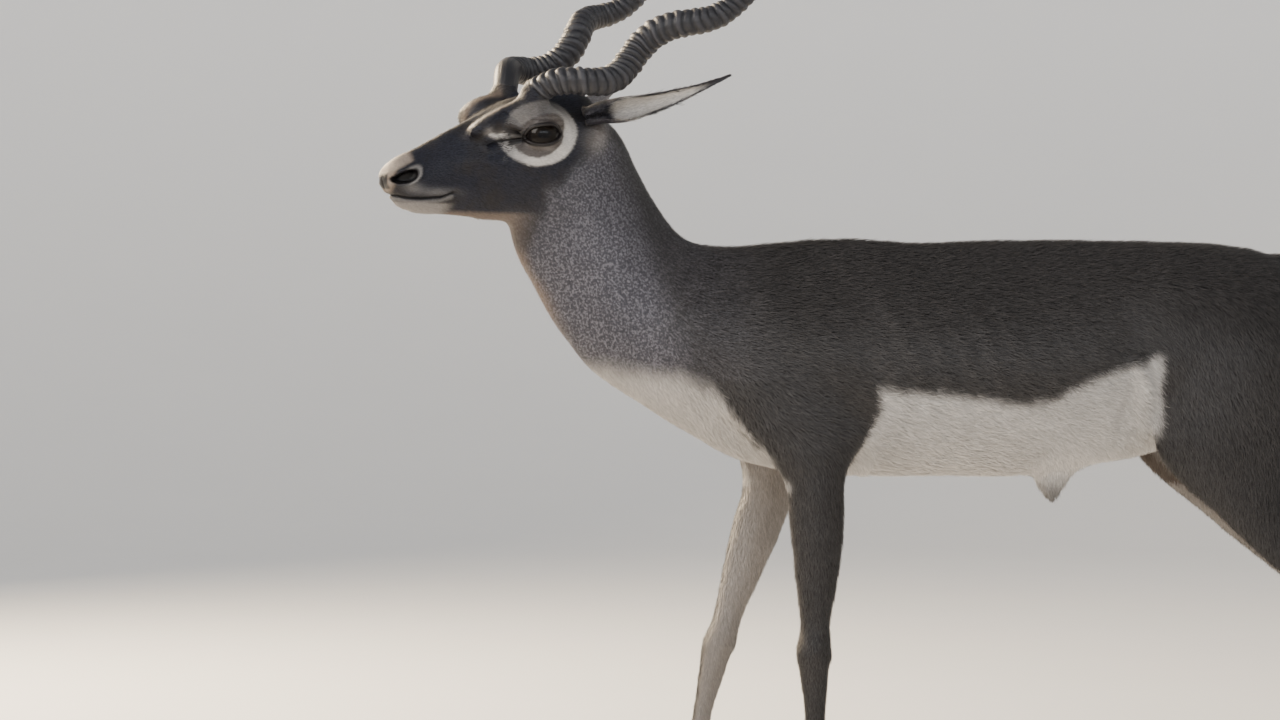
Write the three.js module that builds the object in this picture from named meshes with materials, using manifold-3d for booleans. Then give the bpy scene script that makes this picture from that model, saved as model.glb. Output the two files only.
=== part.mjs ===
// A standing male blackbuck antelope at life size, as a museum would show it.
// Millimetres, +Z up. It faces -X, its left side is towards -Y, and it stands on z = 0, under the
// middle of its own box.
import * as THREE from "three";
import { mergeVertices } from "three/addons/utils/BufferGeometryUtils.js";
import Module from "manifold-3d";

const wasm = await Module();
wasm.setup();

// Driving dimensions
const withersHeight = 764;
const headTurn = THREE.MathUtils.degToRad(21);
const headRoll = THREE.MathUtils.degToRad(3);
const hornLength = 504;
const hornPitch = 150;
const earLength = 158;
const eyeRadius = 22;
const lidThickness = 2.6;
const farForeStep = -140;
const farHindStep = 66;
const kneeHeight = 283;
const hockHeight = 296;
const legInnerSide = 9;
const elbow = { front: -250, back: -112, z: 514, out: 40 };
const hipHeight = 700;
const flank = { x: 196, z: 482 };
const clawPitch = 18.6;
const seam = 0.3;
const far = 2000;
const sides = { left: -1, right: 1 };

// Where the head meets the neck, and the vertical line that it turns about
const poll = { x: -451, y: 0, z: 869 };
const headPivot = { x: 251, z: 44 };

// Half-widths are four control values, from the first edge of a section to the second.
// The trunk and neck, from the pin bones to inside the skull: top line, bottom line, half-widths,
// and how much of the head's turn each section takes.
const trunk = [
  { top: [462, 716], bottom: [463, 676], widths: [22, 32, 32, 22] },
  { top: [451, 738], bottom: [451, 634], widths: [36, 60, 58, 36] },
  { top: [416, 757], bottom: [412, 580], widths: [50, 88, 82, 44] },
  { top: [356, 768], bottom: [352, 538], widths: [58, 106, 98, 54] },
  { top: [288, 771], bottom: [286, 514], widths: [56, 104, 102, 60] },
  { top: [218, 771.5], bottom: [216, 499], widths: [50, 98, 106, 70] },
  { top: [138, 772], bottom: [136, 490], widths: [48, 100, 120, 82] },
  { top: [48, 770], bottom: [48, 486], widths: [46, 104, 130, 88] },
  { top: [-40, 767], bottom: [-40, 484], widths: [44, 102, 130, 88] },
  { top: [-106, 771], bottom: [-112, 484], widths: [38, 96, 124, 80] },
  { top: [-160, 770], bottom: [-182, 488], widths: [32, 90, 117, 70] },
  { top: [-208, 766], bottom: [-254, 503], widths: [32, 84, 110, 64] },
  { top: [-250, 762], bottom: [-318, 538], widths: [34, 77, 100, 60] },
  { top: [-288, 762], bottom: [-378, 574], widths: [36, 72, 90, 58] },
  { top: [-314, 768], bottom: [-430, 610], widths: [38, 67, 80, 56], turn: 0.08 },
  { top: [-334, 786], bottom: [-467, 654], widths: [38, 64, 72, 56], turn: 0.2 },
  { top: [-352, 814], bottom: [-496, 704], widths: [38, 62, 66, 55], turn: 0.4 },
  { top: [-370, 850], bottom: [-525, 747], widths: [38, 60, 63, 53], turn: 0.65 },
  { top: [-386, 886], bottom: [-535, 791], widths: [38, 58, 61, 49], turn: 0.88 },
  { top: [-406, 912], bottom: [-520, 842], widths: [28, 45, 50, 42], turn: 1 },
];

// The head in its own frame: x runs back from the nose tip, z is up from it.
const skull = [
  { top: [2, 11], bottom: [4, -9], widths: [8, 12, 11, 8] },
  { top: [8, 18], bottom: [13, -19], widths: [16, 21, 20, 13] },
  { top: [18, 25], bottom: [26, -29], widths: [18, 27, 25, 16] },
  { top: [34, 35], bottom: [46, -35], widths: [18, 28, 27, 17] },
  { top: [60, 50], bottom: [74, -35], widths: [18, 30, 29, 17] },
  { top: [94, 69], bottom: [108, -37], widths: [21, 35, 35, 19] },
  { top: [126, 87], bottom: [142, -41], widths: [31, 45, 43, 22] },
  { top: [156, 102], bottom: [172, -43], widths: [42, 54, 49, 25] },
  { top: [186, 112], bottom: [200, -38], widths: [46, 56, 53, 30] },
  { top: [218, 114], bottom: [226, -20], widths: [42, 53, 52, 34] },
  { top: [248, 107], bottom: [250, 4], widths: [37, 48, 48, 36] },
  { top: [272, 94], bottom: [272, 26], widths: [29, 43, 43, 31] },
  { top: [287, 78], bottom: [287, 44], widths: [16, 25, 25, 16] },
];

const foreleg = [
  { top: [-244, 698], bottom: [-176, 698], out: 24, widths: [6, 20, 20, 6] },
  { top: [-290, 654], bottom: [-142, 656], out: 45, widths: [10, 37, 35, 10] },
  { top: [-308, 606], bottom: [-116, 610], out: 60, widths: [14, 41, 39, 10] },
  { top: [-284, 560], bottom: [-110, 566], out: 68, widths: [20, 39, 36, 14] },
  { top: [-246, 516], bottom: [-122, 523], out: 75, widths: [23, 36, 33, 16] },
  { top: [-217, 476], bottom: [-139, 484], out: 76, widths: [22, 31, 29, 16] },
  { top: [-211, 436], bottom: [-141, 442], out: 75, widths: [20, 27, 25, 16] },
  { top: [-205, 392], bottom: [-145, 395], out: 73, widths: [18, 23, 22, 14] },
  { top: [-199, 350], bottom: [-152, 351], out: 71, widths: [16, 19, 18, 13] },
  { top: [-195, 314], bottom: [-158, 314], out: 69, widths: [15, 17, 16, 13] },
  { top: [-198, 283], bottom: [-157, 283], out: 68, widths: [16, 20, 19, 16] },
  { top: [-195, 252], bottom: [-159, 252], out: 67, widths: [13, 16, 15, 12] },
  { top: [-190, 216], bottom: [-162, 214], out: 66, widths: [10, 12, 11, 9] },
  { top: [-188, 160], bottom: [-163, 158], out: 65, widths: [9, 11, 10.5, 9] },
  { top: [-190, 124], bottom: [-160, 120], out: 65, widths: [11, 13, 12.5, 11] },
  { top: [-194, 98], bottom: [-156, 92], out: 65, widths: [13, 17, 17, 13] },
  { top: [-203, 73], bottom: [-170, 63], out: 65, widths: [12, 15, 15, 12] },
  { top: [-213, 50], bottom: [-173, 38], out: 65, widths: [13, 17.5, 18, 14] },
];
const hindleg = [
  { top: [320, 740], bottom: [395, 740], out: 24, widths: [6, 18, 18, 6] },
  { top: [284, 700], bottom: [426, 712], out: 44, widths: [8, 38, 38, 12] },
  { top: [258, 646], bottom: [446, 678], out: 59, widths: [14, 46, 45, 22] },
  { top: [244, 592], bottom: [454, 638], out: 65, widths: [18, 48, 45, 24] },
  { top: [238, 546], bottom: [452, 598], out: 68, widths: [22, 46, 41, 22] },
  { top: [247, 504], bottom: [444, 560], out: 70, widths: [24, 41, 36, 19] },
  { top: [282, 468], bottom: [434, 526], out: 70, widths: [22, 34, 29, 15] },
  { top: [322, 437], bottom: [429, 489], out: 69, widths: [18, 27, 22, 11] },
  { top: [361, 404], bottom: [436, 452], out: 67, widths: [15, 21, 16, 9] },
  { top: [399, 373], bottom: [452, 416], out: 65, widths: [13, 17, 12, 8] },
  { top: [433, 344], bottom: [482, 381], out: 63, widths: [13, 15, 10, 8] },
  { top: [463, 311], bottom: [525, 342], out: 61, widths: [15, 18, 14, 10] },
  { top: [472, 284], bottom: [519, 292], out: 61, widths: [14, 15.5, 13, 10] },
  { top: [476, 250], bottom: [510, 252], out: 60, widths: [11, 12.5, 11.5, 9] },
  { top: [477, 200], bottom: [507, 200], out: 60, widths: [10, 11.5, 11, 9] },
  { top: [474, 150], bottom: [503, 150], out: 60, widths: [10, 11.5, 11, 9] },
  { top: [470, 122], bottom: [502, 118], out: 60, widths: [12, 14, 13, 11] },
  { top: [466, 98], bottom: [505, 91], out: 60, widths: [13, 17, 17, 13] },
  { top: [457, 73], bottom: [490, 63], out: 60, widths: [12, 15, 15, 12] },
  { top: [447, 50], bottom: [487, 38], out: 60, widths: [13, 17.5, 18, 14] },
];
const tail = [
  { top: [424, 762], bottom: [418, 728], widths: [10, 18, 18, 12] },
  { top: [456, 756], bottom: [444, 720], widths: [12, 20, 20, 12] },
  { top: [481, 734], bottom: [459, 706], widths: [12, 21, 21, 12] },
  { top: [491, 694], bottom: [466, 680], widths: [12, 22, 22, 12] },
  { top: [493, 652], bottom: [469, 646], widths: [11, 21, 21, 12] },
  { top: [489, 615], bottom: [471, 614], widths: [8, 15, 15, 9] },
  { top: [483, 594], bottom: [475, 594], widths: [3, 5, 5, 3] },
];
const tassel = { x: 484, top: 652, bottom: 592 };
const sheath = [
  { top: [98, 504], bottom: [200, 506], widths: [8, 17, 15, 8] },
  { top: [114, 484], bottom: [174, 487], widths: [8, 14, 13, 7] },
  { top: [123, 470], bottom: [158, 473], widths: [7, 11, 10, 6] },
  { top: [130, 460], bottom: [150, 462], widths: [5, 8, 7, 5] },
  { top: [135, 454], bottom: [143, 454], widths: [2, 3, 3, 2] },
];

// Swellings and hollows of the surface: centre, reach and push, in the frame of the loft. The y
// of the push is outwards on both sides.
const trunkRelief = [
  { at: [264, 78, 734], reach: [32, 30, 26], push: [0, 6, 3] },
  { at: [222, 96, 662], reach: [42, 50, 46], push: [0, -9, 0] },
  { at: [-110, 80, 655], reach: [30, 60, 80], push: [0, -5, 0] },
  { at: [-374, 54, 704], reach: [26, 40, 70], push: [0, -6, 0] },
];
const skullRelief = [
  { at: [188, 52, 14], reach: [34, 45, 32], push: [0, 6, -1] },
  { at: [126, 36, 46], reach: [22, 27, 17], push: [0, -5, 0] },
  { at: [17, 20, 9], reach: [12, 13, 10], push: [-1, 4, 1] },
  { at: [47, 25, -10], reach: [29, 18, 10], push: [0, 2, 0] },
  { at: [160, 42, 90], reach: [24, 18, 17], push: [-4, 6, 8] },
  { at: [246, 49, 70], reach: [22, 25, 27], push: [0, 4, 2] },
];

const eye = { x: 184, out: 37, z: 59, ahead: 0.36, up: 0.1, length: 42, height: 23, tilt: 0.12 };
const ear = {
  root: [257, 43, 79],
  along: [0.79, 0.49, 0.37],
  opens: [-0.45, 0.85, -0.15],
  wall: 2.6,
  bow: 6,
  steps: 7,
  // Share of the length, half-width, and half the angle that the cup closes round
  stations: [
    [-0.1, 11.5, 165],
    [0, 12.5, 150],
    [0.12, 14, 118],
    [0.26, 15.5, 96],
    [0.42, 15.5, 82],
    [0.58, 13, 74],
    [0.74, 9, 68],
    [0.88, 5, 62],
    [1, 1.3, 60],
  ],
};
const horn = {
  root: [174, 37.4, 107.7],
  sunk: 12,
  along: [0.824, 0.269, 0.499],
  radius: 17,
  tipRadius: 1.5,
  thickest: { at: 145, reach: 55, more: 1.6 },
  waveRadius: 16.9,
  waveFade: 1.4,
  highestAt: { left: 16, right: 34.5 },
  ridgeStep: 12,
  ridgeHeight: 1.8,
  sides: 9,
};
const orbit = { radii: [39, 20, 31], back: 2, out: 1, up: 4 };
const mouth = {
  line: [[5, -14], [28, -18], [46, -17], [64, -14], [80, -10]],
  gap: 1.5,
  innerSide: 20,
  frontLength: 22,
  frontInset: 13,
};
const nostril = { at: [18, 21, 6], radii: [15, 8, 5.5], tilt: 0.25 };
const gland = { at: [122, 38, 50], radii: [10, 4.5, 2.2], tilt: 0.5 };

const coats = {
  dark: { color: 0x2b2622, roughness: 0.85 },
  neck: { color: 0x4a4440, roughness: 0.85 },
  pale: { color: 0xd8cdbd, roughness: 0.9 },
  horn: { color: 0x4b4640, roughness: 0.6 },
  hoof: { color: 0x24201d, roughness: 0.5 },
  eye: { color: 0x120c08, roughness: 0.08 },
};

// Lofting

// A smooth value at place t through values given at rising knots.
function smoothAt(knots, values, t) {
  const last = knots.length - 1;
  let i = 0;
  while (i < last - 1 && t > knots[i + 1]) i++;
  const slope = (k) => (values[k + 1] - values[k]) / (knots[k + 1] - knots[k]);
  const tangent = (k) => {
    if (k === 0) return slope(0);
    if (k === last) return slope(last - 1);
    const before = knots[k] - knots[k - 1];
    const after = knots[k + 1] - knots[k];
    return (slope(k - 1) * after + slope(k) * before) / (before + after);
  };
  const span = knots[i + 1] - knots[i];
  const s = (t - knots[i]) / span;
  const rest = 1 - s;
  return (
    values[i] * (1 + 2 * s) * rest ** 2 +
    tangent(i) * span * s * rest ** 2 +
    values[i + 1] * s ** 2 * (3 - 2 * s) -
    tangent(i + 1) * span * s ** 2 * rest
  );
}

// The half-width a share of the way across a section, from its four control values.
function widthAt([a, b, c, d], share) {
  const rest = 1 - share;
  return a * rest ** 3 + 3 * b * share * rest ** 2 + 3 * c * share ** 2 * rest + d * share ** 3;
}

// Rings through the stations, with extra ones between them. A ring is an oval between its top
// and bottom points whose half-width follows the control values.
function ringsOf(stations, count, between, side = 1) {
  const columns = stations.map((s) => [
    ...s.top, ...s.bottom, (s.out ?? 0) * side, ...s.widths, s.turn ?? 0,
  ]);
  const knots = [0];
  for (let i = 1; i < columns.length; i++) {
    const [a, b] = [columns[i - 1], columns[i]];
    const step = Math.hypot(a[0] + a[2] - b[0] - b[2], a[1] + a[3] - b[1] - b[3]) / 2;
    knots.push(knots[i - 1] + step);
  }
  const rings = [];
  for (let i = 0; i < columns.length - 1; i++)
    for (let j = 0; j < between; j++) {
      rings.push(knots[i] + ((knots[i + 1] - knots[i]) * j) / between);
    }
  rings.push(knots[knots.length - 1]);
  return rings.map((t) => {
    const [tx, tz, bx, bz, y, w0, w1, w2, w3, turn] = columns[0].map((_, k) =>
      smoothAt(knots, columns.map((c) => c[k]), t),
    );
    const ring = [];
    for (let i = 0; i < count; i++) {
      const angle = (i / count) * 2 * Math.PI;
      const share = (1 - Math.cos(angle)) / 2;
      const width = widthAt([w0, w1, w2, w3], share) * Math.sin(angle);
      ring.push(new THREE.Vector3(tx + (bx - tx) * share, y + width, tz + (bz - tz) * share));
    }
    turnAboutPoll(ring, turn * headTurn);
    return ring;
  });
}

function turnAboutPoll(points, angle) {
  const axis = new THREE.Vector3(0, 0, 1);
  const centre = new THREE.Vector3(poll.x, poll.y, 0);
  for (const p of points) p.sub(centre).applyAxisAngle(axis, angle).add(centre);
}

function pushOut(rings, relief) {
  for (const p of rings.flat()) {
    const from = p.clone();
    for (const { at, reach, push } of relief) {
      const side = Math.sign(from.y) || 1;
      const d = [from.x - at[0], from.y * side - at[1], from.z - at[2]];
      const near = Math.exp(-d.reduce((sum, v, k) => sum + (v / reach[k]) ** 2, 0));
      p.x += push[0] * near;
      p.y += push[1] * near * side * Math.min(1, Math.abs(from.y) / 12);
      p.z += push[2] * near;
    }
  }
  return rings;
}

// The faces that close a ring round its middle point
function fan(ring, from, points) {
  const middle = ring.reduce((sum, p) => sum.add(p), new THREE.Vector3()).divideScalar(ring.length);
  const centre = points.push(middle) - 1;
  return ring.flatMap((_, i) => [centre, from + ((i + 1) % ring.length), from + i]);
}

// The faces that close a crescent, whose second half runs back beside its first
function crescentEnd(ring, from) {
  const faces = [];
  const opposite = (i) => from + ring.length - 1 - i;
  for (let i = 0; i < ring.length / 2 - 1; i++) {
    faces.push(from + i + 1, from + i, opposite(i));
    faces.push(from + i + 1, opposite(i), opposite(i + 1));
  }
  return faces;
}

// One closed surface over a row of rings
function skinOver(rings, end = fan) {
  const count = rings[0].length;
  const points = rings.flat();
  const lastFrom = (rings.length - 1) * count;
  const faces = end(rings[0], 0, points);
  faces.push(...end(rings[rings.length - 1], lastFrom, points).reverse());
  for (let r = 0; r < rings.length - 1; r++)
    for (let i = 0; i < count; i++) {
      const j = (i + 1) % count;
      const [a, b, c, d] = [r * count + i, r * count + j, (r + 1) * count + i, (r + 1) * count + j];
      faces.push(a, b, c, b, d, c);
    }
  const positions = points.flatMap((p) => [p.x, p.y, p.z]);
  return new THREE.BufferGeometry()
    .setAttribute("position", new THREE.Float32BufferAttribute(positions, 3))
    .setIndex(faces);
}

// Solids

function solidOf(geometry, matrix) {
  const bare = geometry.clone();
  bare.deleteAttribute("normal");
  bare.deleteAttribute("uv");
  if (matrix) bare.applyMatrix4(matrix);
  const merged = mergeVertices(bare, 1e-4);
  const build = (triVerts) =>
    new wasm.Manifold(
      new wasm.Mesh({ numProp: 3, vertProperties: merged.attributes.position.array, triVerts }),
    );
  const faces = new Uint32Array(merged.index.array);
  const made = build(faces);
  if (made.volume() > 0) return made;
  for (let i = 0; i < faces.length; i += 3) [faces[i + 1], faces[i + 2]] = [faces[i + 2], faces[i + 1]];
  return build(faces);
}

function joined(solids) {
  return solids.reduce((all, next) => all.add(next));
}

function largest(solid) {
  return solid.decompose().reduce((best, next) => (next.volume() > best.volume() ? next : best));
}

// A block whose near face passes through a point, square to a direction.
function block(point, direction, offset) {
  const forward = direction.clone().normalize();
  const turn = new THREE.Quaternion().setFromUnitVectors(new THREE.Vector3(0, 0, 1), forward);
  const centre = point.clone().addScaledVector(forward, far / 2 + offset);
  const place = new THREE.Matrix4().compose(centre, turn, new THREE.Vector3(1, 1, 1));
  return solidOf(new THREE.BoxGeometry(far, far, far), place);
}

function meshOf(name, solid, coat) {
  const { numProp, numVert, vertProperties, triVerts } = largest(solid).getMesh();
  const positions = new Float32Array(numVert * 3);
  for (let i = 0; i < numVert; i++)
    positions.set(vertProperties.subarray(i * numProp, i * numProp + 3), i * 3);
  const geometry = new THREE.BufferGeometry()
    .setAttribute("position", new THREE.BufferAttribute(positions, 3))
    .setIndex(new THREE.BufferAttribute(triVerts, 1));
  geometry.computeVertexNormals();
  const { color, roughness } = coats[coat];
  const mesh = new THREE.Mesh(
    geometry,
    new THREE.MeshStandardMaterial({ color, roughness, metalness: 0 }),
  );
  mesh.name = name;
  return mesh;
}

// The head's own frame, set on the neck and turned to the left
const headPlace = new THREE.Matrix4()
  .makeTranslation(poll.x, poll.y, poll.z)
  .multiply(new THREE.Matrix4().makeRotationZ(headTurn))
  .multiply(new THREE.Matrix4().makeRotationX(headRoll))
  .multiply(new THREE.Matrix4().makeTranslation(-headPivot.x, 0, -headPivot.z));
const onHead = ([x, y, z], side = 1) => new THREE.Vector3(x, y * side, z);

function ball(radii, centre, tilt = 0, segments = 14) {
  const place = new THREE.Matrix4()
    .makeTranslation(...centre)
    .multiply(new THREE.Matrix4().makeRotationY(tilt))
    .multiply(new THREE.Matrix4().makeScale(...radii));
  return solidOf(new THREE.SphereGeometry(1, segments, Math.round(segments * 0.6)), place);
}

function eyeBall(side, extra = 0) {
  return ball(Array(3).fill(eyeRadius + extra), [eye.x, eye.out * side, eye.z], 0, 20);
}

function eyeAim(side) {
  return new THREE.Vector3(-eye.ahead, side * Math.sqrt(1 - eye.ahead ** 2), eye.up).normalize();
}

// An almond prism from the middle of the eye out through the lids
function eyeOpening(side) {
  const half = eye.length / 2;
  const almond = new THREE.Shape()
    .moveTo(-half, -1)
    .quadraticCurveTo(-half * 0.1, eye.height * 1.05, half, 1)
    .quadraticCurveTo(0, -eye.height * 0.95, -half, -1);
  const out = eyeAim(side);
  const back = new THREE.Vector3(1, 0, Math.tan(eye.tilt)).projectOnPlane(out).normalize();
  const up = new THREE.Vector3().crossVectors(out, back).multiplyScalar(side);
  const frame = new THREE.Matrix4().makeBasis(back, up, out).setPosition(eye.x, eye.out * side, eye.z);
  return solidOf(new THREE.ExtrudeGeometry(almond, { depth: 60, bevelEnabled: false, curveSegments: 8 }), frame);
}

// The groove between the lips, open to the front and both sides
function mouthGroove(side) {
  const rings = mouth.line.map(([x, z], i) => {
    const open = mouth.gap * (i === mouth.line.length - 1 ? 0.3 : 1);
    const inner = mouth.innerSide - mouth.frontInset * Math.max(0, 1 - x / mouth.frontLength);
    const outer = inner + skull[0].widths[1] * 4;
    return [
      new THREE.Vector3(x, side * inner, z - open / 2),
      new THREE.Vector3(x, side * outer, z - open / 2),
      new THREE.Vector3(x, side * outer, z + open / 2),
      new THREE.Vector3(x, side * inner, z + open / 2),
    ];
  });
  return solidOf(skinOver(rings));
}

function headSolid() {
  let head = solidOf(skinOver(pushOut(ringsOf(skull, 26, 2), skullRelief)));
  for (const side of Object.values(sides)) {
    const socket = [eye.x + orbit.back, (eye.out + orbit.out) * side, eye.z + orbit.up];
    head = head
      .add(ball(orbit.radii, socket, 0, 16))
      .add(eyeBall(side, lidThickness))
      .subtract(eyeBall(side, seam))
      .subtract(eyeOpening(side))
      .subtract(ball(nostril.radii, [nostril.at[0], nostril.at[1] * side, nostril.at[2]], -nostril.tilt, 12))
      .subtract(ball(gland.radii, [gland.at[0], gland.at[1] * side, gland.at[2]], -gland.tilt, 10))
      .subtract(mouthGroove(side));
  }
  return head;
}

// A ringed horn that winds about a straight axis. The extra makes the socket that it sits in.
function hornSolid(side, extra = 0) {
  const highestAt = side === sides.left ? horn.highestAt.left : horn.highestAt.right;
  const along = onHead(horn.along, side).normalize();
  const up = new THREE.Vector3(0, 0, 1).projectOnPlane(along).normalize();
  const out = new THREE.Vector3(0, side, 0).projectOnPlane(along).projectOnPlane(up).normalize();
  const swung = (s) => {
    const phase = (2 * Math.PI * (s - highestAt)) / hornPitch;
    const swing = horn.waveRadius * Math.max(0, 1 - s / hornLength) ** horn.waveFade;
    return along.clone().multiplyScalar(s)
      .addScaledVector(up, Math.cos(phase) * swing)
      .addScaledVector(out, Math.sin(phase) * swing);
  };
  const first = swung(0);
  const centre = (s) => swung(s).sub(first).add(onHead(horn.root, side));
  const turnLength = Math.hypot(hornPitch, 2 * Math.PI * horn.waveRadius * 0.75);
  const ridges = Math.round((hornLength * turnLength) / hornPitch / horn.ridgeStep);
  const rings = [];
  for (let i = 0; i <= ridges * 2; i++) {
    const t = i / (ridges * 2);
    const s = t * (hornLength + horn.sunk) - horn.sunk - extra * (i === 0);
    const tangent = centre(s + 2).sub(centre(s - 2)).normalize();
    const across = out.clone().projectOnPlane(tangent).normalize();
    const rise = new THREE.Vector3().crossVectors(tangent, across);
    const fade = Math.min(1, Math.max(0, (0.9 - t) / 0.2));
    const ridge = horn.ridgeHeight * (i % 2 ? 1 : -0.6) * fade;
    const { at, reach, more } = horn.thickest;
    const full = horn.radius - horn.tipRadius + more * Math.exp(-(((s - at) / reach) ** 2));
    const radius = horn.tipRadius + full * (1 - t ** 3) + ridge + extra;
    const ring = [];
    for (let k = 0; k < horn.sides; k++) {
      const angle = (k / horn.sides) * 2 * Math.PI;
      ring.push(
        centre(s)
          .addScaledVector(across, Math.cos(angle) * radius)
          .addScaledVector(rise, Math.sin(angle) * radius),
      );
    }
    rings.push(ring);
  }
  return solidOf(skinOver(rings));
}

// A cupped ear: each section is a crescent that opens sideways
function earSolid(side, extra = 0) {
  const along = onHead(ear.along, side).normalize();
  const opens = onHead(ear.opens, side).projectOnPlane(along).normalize();
  const across = new THREE.Vector3().crossVectors(along, opens);
  const rings = ear.stations.map(([t, halfWidth, halfTurn], i) => {
    const spread = THREE.MathUtils.degToRad(halfTurn);
    const radius = halfWidth / Math.sin(Math.min(spread, Math.PI / 2));
    const wall = Math.min(ear.wall - t, radius * 0.45);
    const root = onHead(ear.root, side)
      .addScaledVector(along, earLength * t - extra * (i === 0))
      .addScaledVector(opens, -ear.bow * Math.sin(Math.PI * Math.max(0, t)));
    const arc = (r, k, open) => {
      const angle = (spread + open) * (1 - (2 * k) / ear.steps);
      return root
        .clone()
        .addScaledVector(across, Math.sin(angle) * r)
        .addScaledVector(opens, radius - Math.cos(angle) * r);
    };
    const open = extra / radius;
    const ring = [];
    for (let k = 0; k <= ear.steps; k++) ring.push(arc(radius + extra, k, open));
    for (let k = ear.steps; k >= 0; k--) ring.push(arc(radius - wall - extra, k, open));
    return ring;
  });
  return solidOf(skinOver(rings, crescentEnd));
}

// The step of a far leg moves its foot and leaves its top, above the bend, where it is
function stepped(stations, step, bend) {
  const shift = (z) => (z > bend ? 0 : step * (1 - (z / bend) ** 1.5));
  return stations.map((s) => ({
    ...s,
    top: [s.top[0] + shift(s.top[1]), s.top[1]],
    bottom: [s.bottom[0] + shift(s.bottom[1]), s.bottom[1]],
  }));
}

function dewclaw(x, y, z) {
  const at = (dx, dz, r) => ({ top: [x + dx - r, z + dz], bottom: [x + dx + r, z + dz - r], widths: [r, r, r, r] });
  const rings = ringsOf([at(-7, 9, 5), at(0, 1, 5), at(4, -8, 2)], 8, 1);
  return solidOf(skinOver(rings.map((ring) => ring.map((p) => p.add(new THREE.Vector3(0, y, 0))))));
}

function legSolid(stations, side) {
  const fetlock = stations[stations.length - 3];
  const leg = solidOf(skinOver(ringsOf(stations, 14, 1, side)));
  const claws = [-1, 1].map((y) =>
    dewclaw(fetlock.bottom[0] - 2, fetlock.out * side + y * clawPitch / 2, fetlock.bottom[1] - 12),
  );
  return joined([leg, ...claws]);
}

// One claw of a cloven hoof: a pointed wedge with a flat sole
function clawSolid(coronet, side, inwards) {
  const [front, back] = [coronet.top, coronet.bottom];
  const narrow = (w) => [w * 0.25, w * 0.9, w * 1.2, w * 0.9];
  const rings = ringsOf(
    [
      { top: [front[0] - 15, 0], bottom: [back[0] + 1, 0], widths: narrow(8.6) },
      { top: [front[0] - 12, 11], bottom: [back[0] + 2, 9], widths: narrow(8.8) },
      { top: [front[0] - 4, 33], bottom: [back[0] + 1, 24], widths: narrow(8.5) },
      { top: [front[0] + 1, front[1] - seam], bottom: [back[0], back[1] - seam], widths: narrow(8) },
    ],
    12,
    1,
  );
  const y = side * (coronet.out - (inwards * clawPitch) / 2);
  return solidOf(skinOver(rings.map((ring) => ring.map((p) => p.add(new THREE.Vector3(0, y, 0))))));
}

// A flat, tapered lock of hair along a bent line
function lock(root, tip, sag, width, thickness) {
  const rings = [0, 0.3, 0.65, 1].map((t) => {
    const middle = root.clone().lerp(tip, t).addScaledVector(sag, Math.sin(Math.PI * t));
    const full = Math.max(0.12, 1 - t ** 1.6);
    return [[-1, 0], [0, 1], [1, 0], [0, -1]].map(
      ([a, b]) =>
        new THREE.Vector3(middle.x + b * thickness * full, middle.y + a * width * full, middle.z),
    );
  });
  return solidOf(skinOver(rings));
}

function tailSolid() {
  const locks = [];
  for (let i = 0; i < 8; i++) {
    const across = (i % 4) - 1.5;
    const row = Math.floor(i / 4);
    const root = new THREE.Vector3(tassel.x - row * 3, across * 7, tassel.top - row * 22);
    const low = tassel.bottom - row * 16 - 5 * (i % 2);
    const tip = new THREE.Vector3(tassel.x - 3 + row, across * 9, low);
    locks.push(lock(root, tip, new THREE.Vector3(6 - Math.abs(across), 0, 0), 7, 4));
  }
  return joined([solidOf(skinOver(ringsOf(tail, 12, 1))), ...locks]);
}

// The whole animal, then the thin cuts that part it

const steps = {
  left: { fore: foreleg, hind: hindleg },
  right: {
    fore: stepped(foreleg, farForeStep, elbow.z),
    hind: stepped(hindleg, farHindStep, hipHeight),
  },
};
const inSideView = (x, z) => new THREE.Vector3(x, 0, z);
const inHeadView = (x, z) => inSideView(x, z).applyMatrix4(headPlace);
const place = (solid) => solid.transform(headPlace.toArray());

// A plane seen edge-on from the side, through two points; what lies on its right, walking from
// the first to the second, is kept.
function sidePlane(from, to) {
  const direction = new THREE.Vector3(to.z - from.z, 0, from.x - to.x);
  return { point: from, direction };
}

function beyond(planes, offset) {
  const blocks = planes.map(({ point, direction }) => block(point, direction, offset));
  return blocks.reduce((all, next) => all.intersect(next));
}

// Takes the part beyond the planes off the body, and leaves a seam between them
let body;
function takeOff(planes) {
  const taken = body.intersect(beyond(planes, seam / 2));
  body = body.subtract(beyond(planes, -seam / 2));
  return taken;
}

const model = new THREE.Group();

// Horns, ears and eyes
for (const [name, side] of Object.entries(sides)) {
  model.add(meshOf(`horn_${name}`, place(hornSolid(side)), "horn"));
  model.add(meshOf(`ear_${name}`, place(earSolid(side)), "pale"));
  model.add(meshOf(`eye_${name}`, place(eyeBall(side)), "eye"));
}

// The body, whole
body = joined([
  solidOf(skinOver(pushOut(ringsOf(trunk, 28, 2), trunkRelief))),
  solidOf(skinOver(ringsOf(sheath, 10, 1))),
  tailSolid(),
  place(headSolid()),
]);
for (const [name, side] of Object.entries(sides))
  body = joined([body, legSolid(steps[name].fore, side), legSolid(steps[name].hind, side)]);

// Sockets for the roots of the horns and ears
for (const side of Object.values(sides))
  body = body.subtract(place(hornSolid(side, seam))).subtract(place(earSolid(side, seam)));

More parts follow.
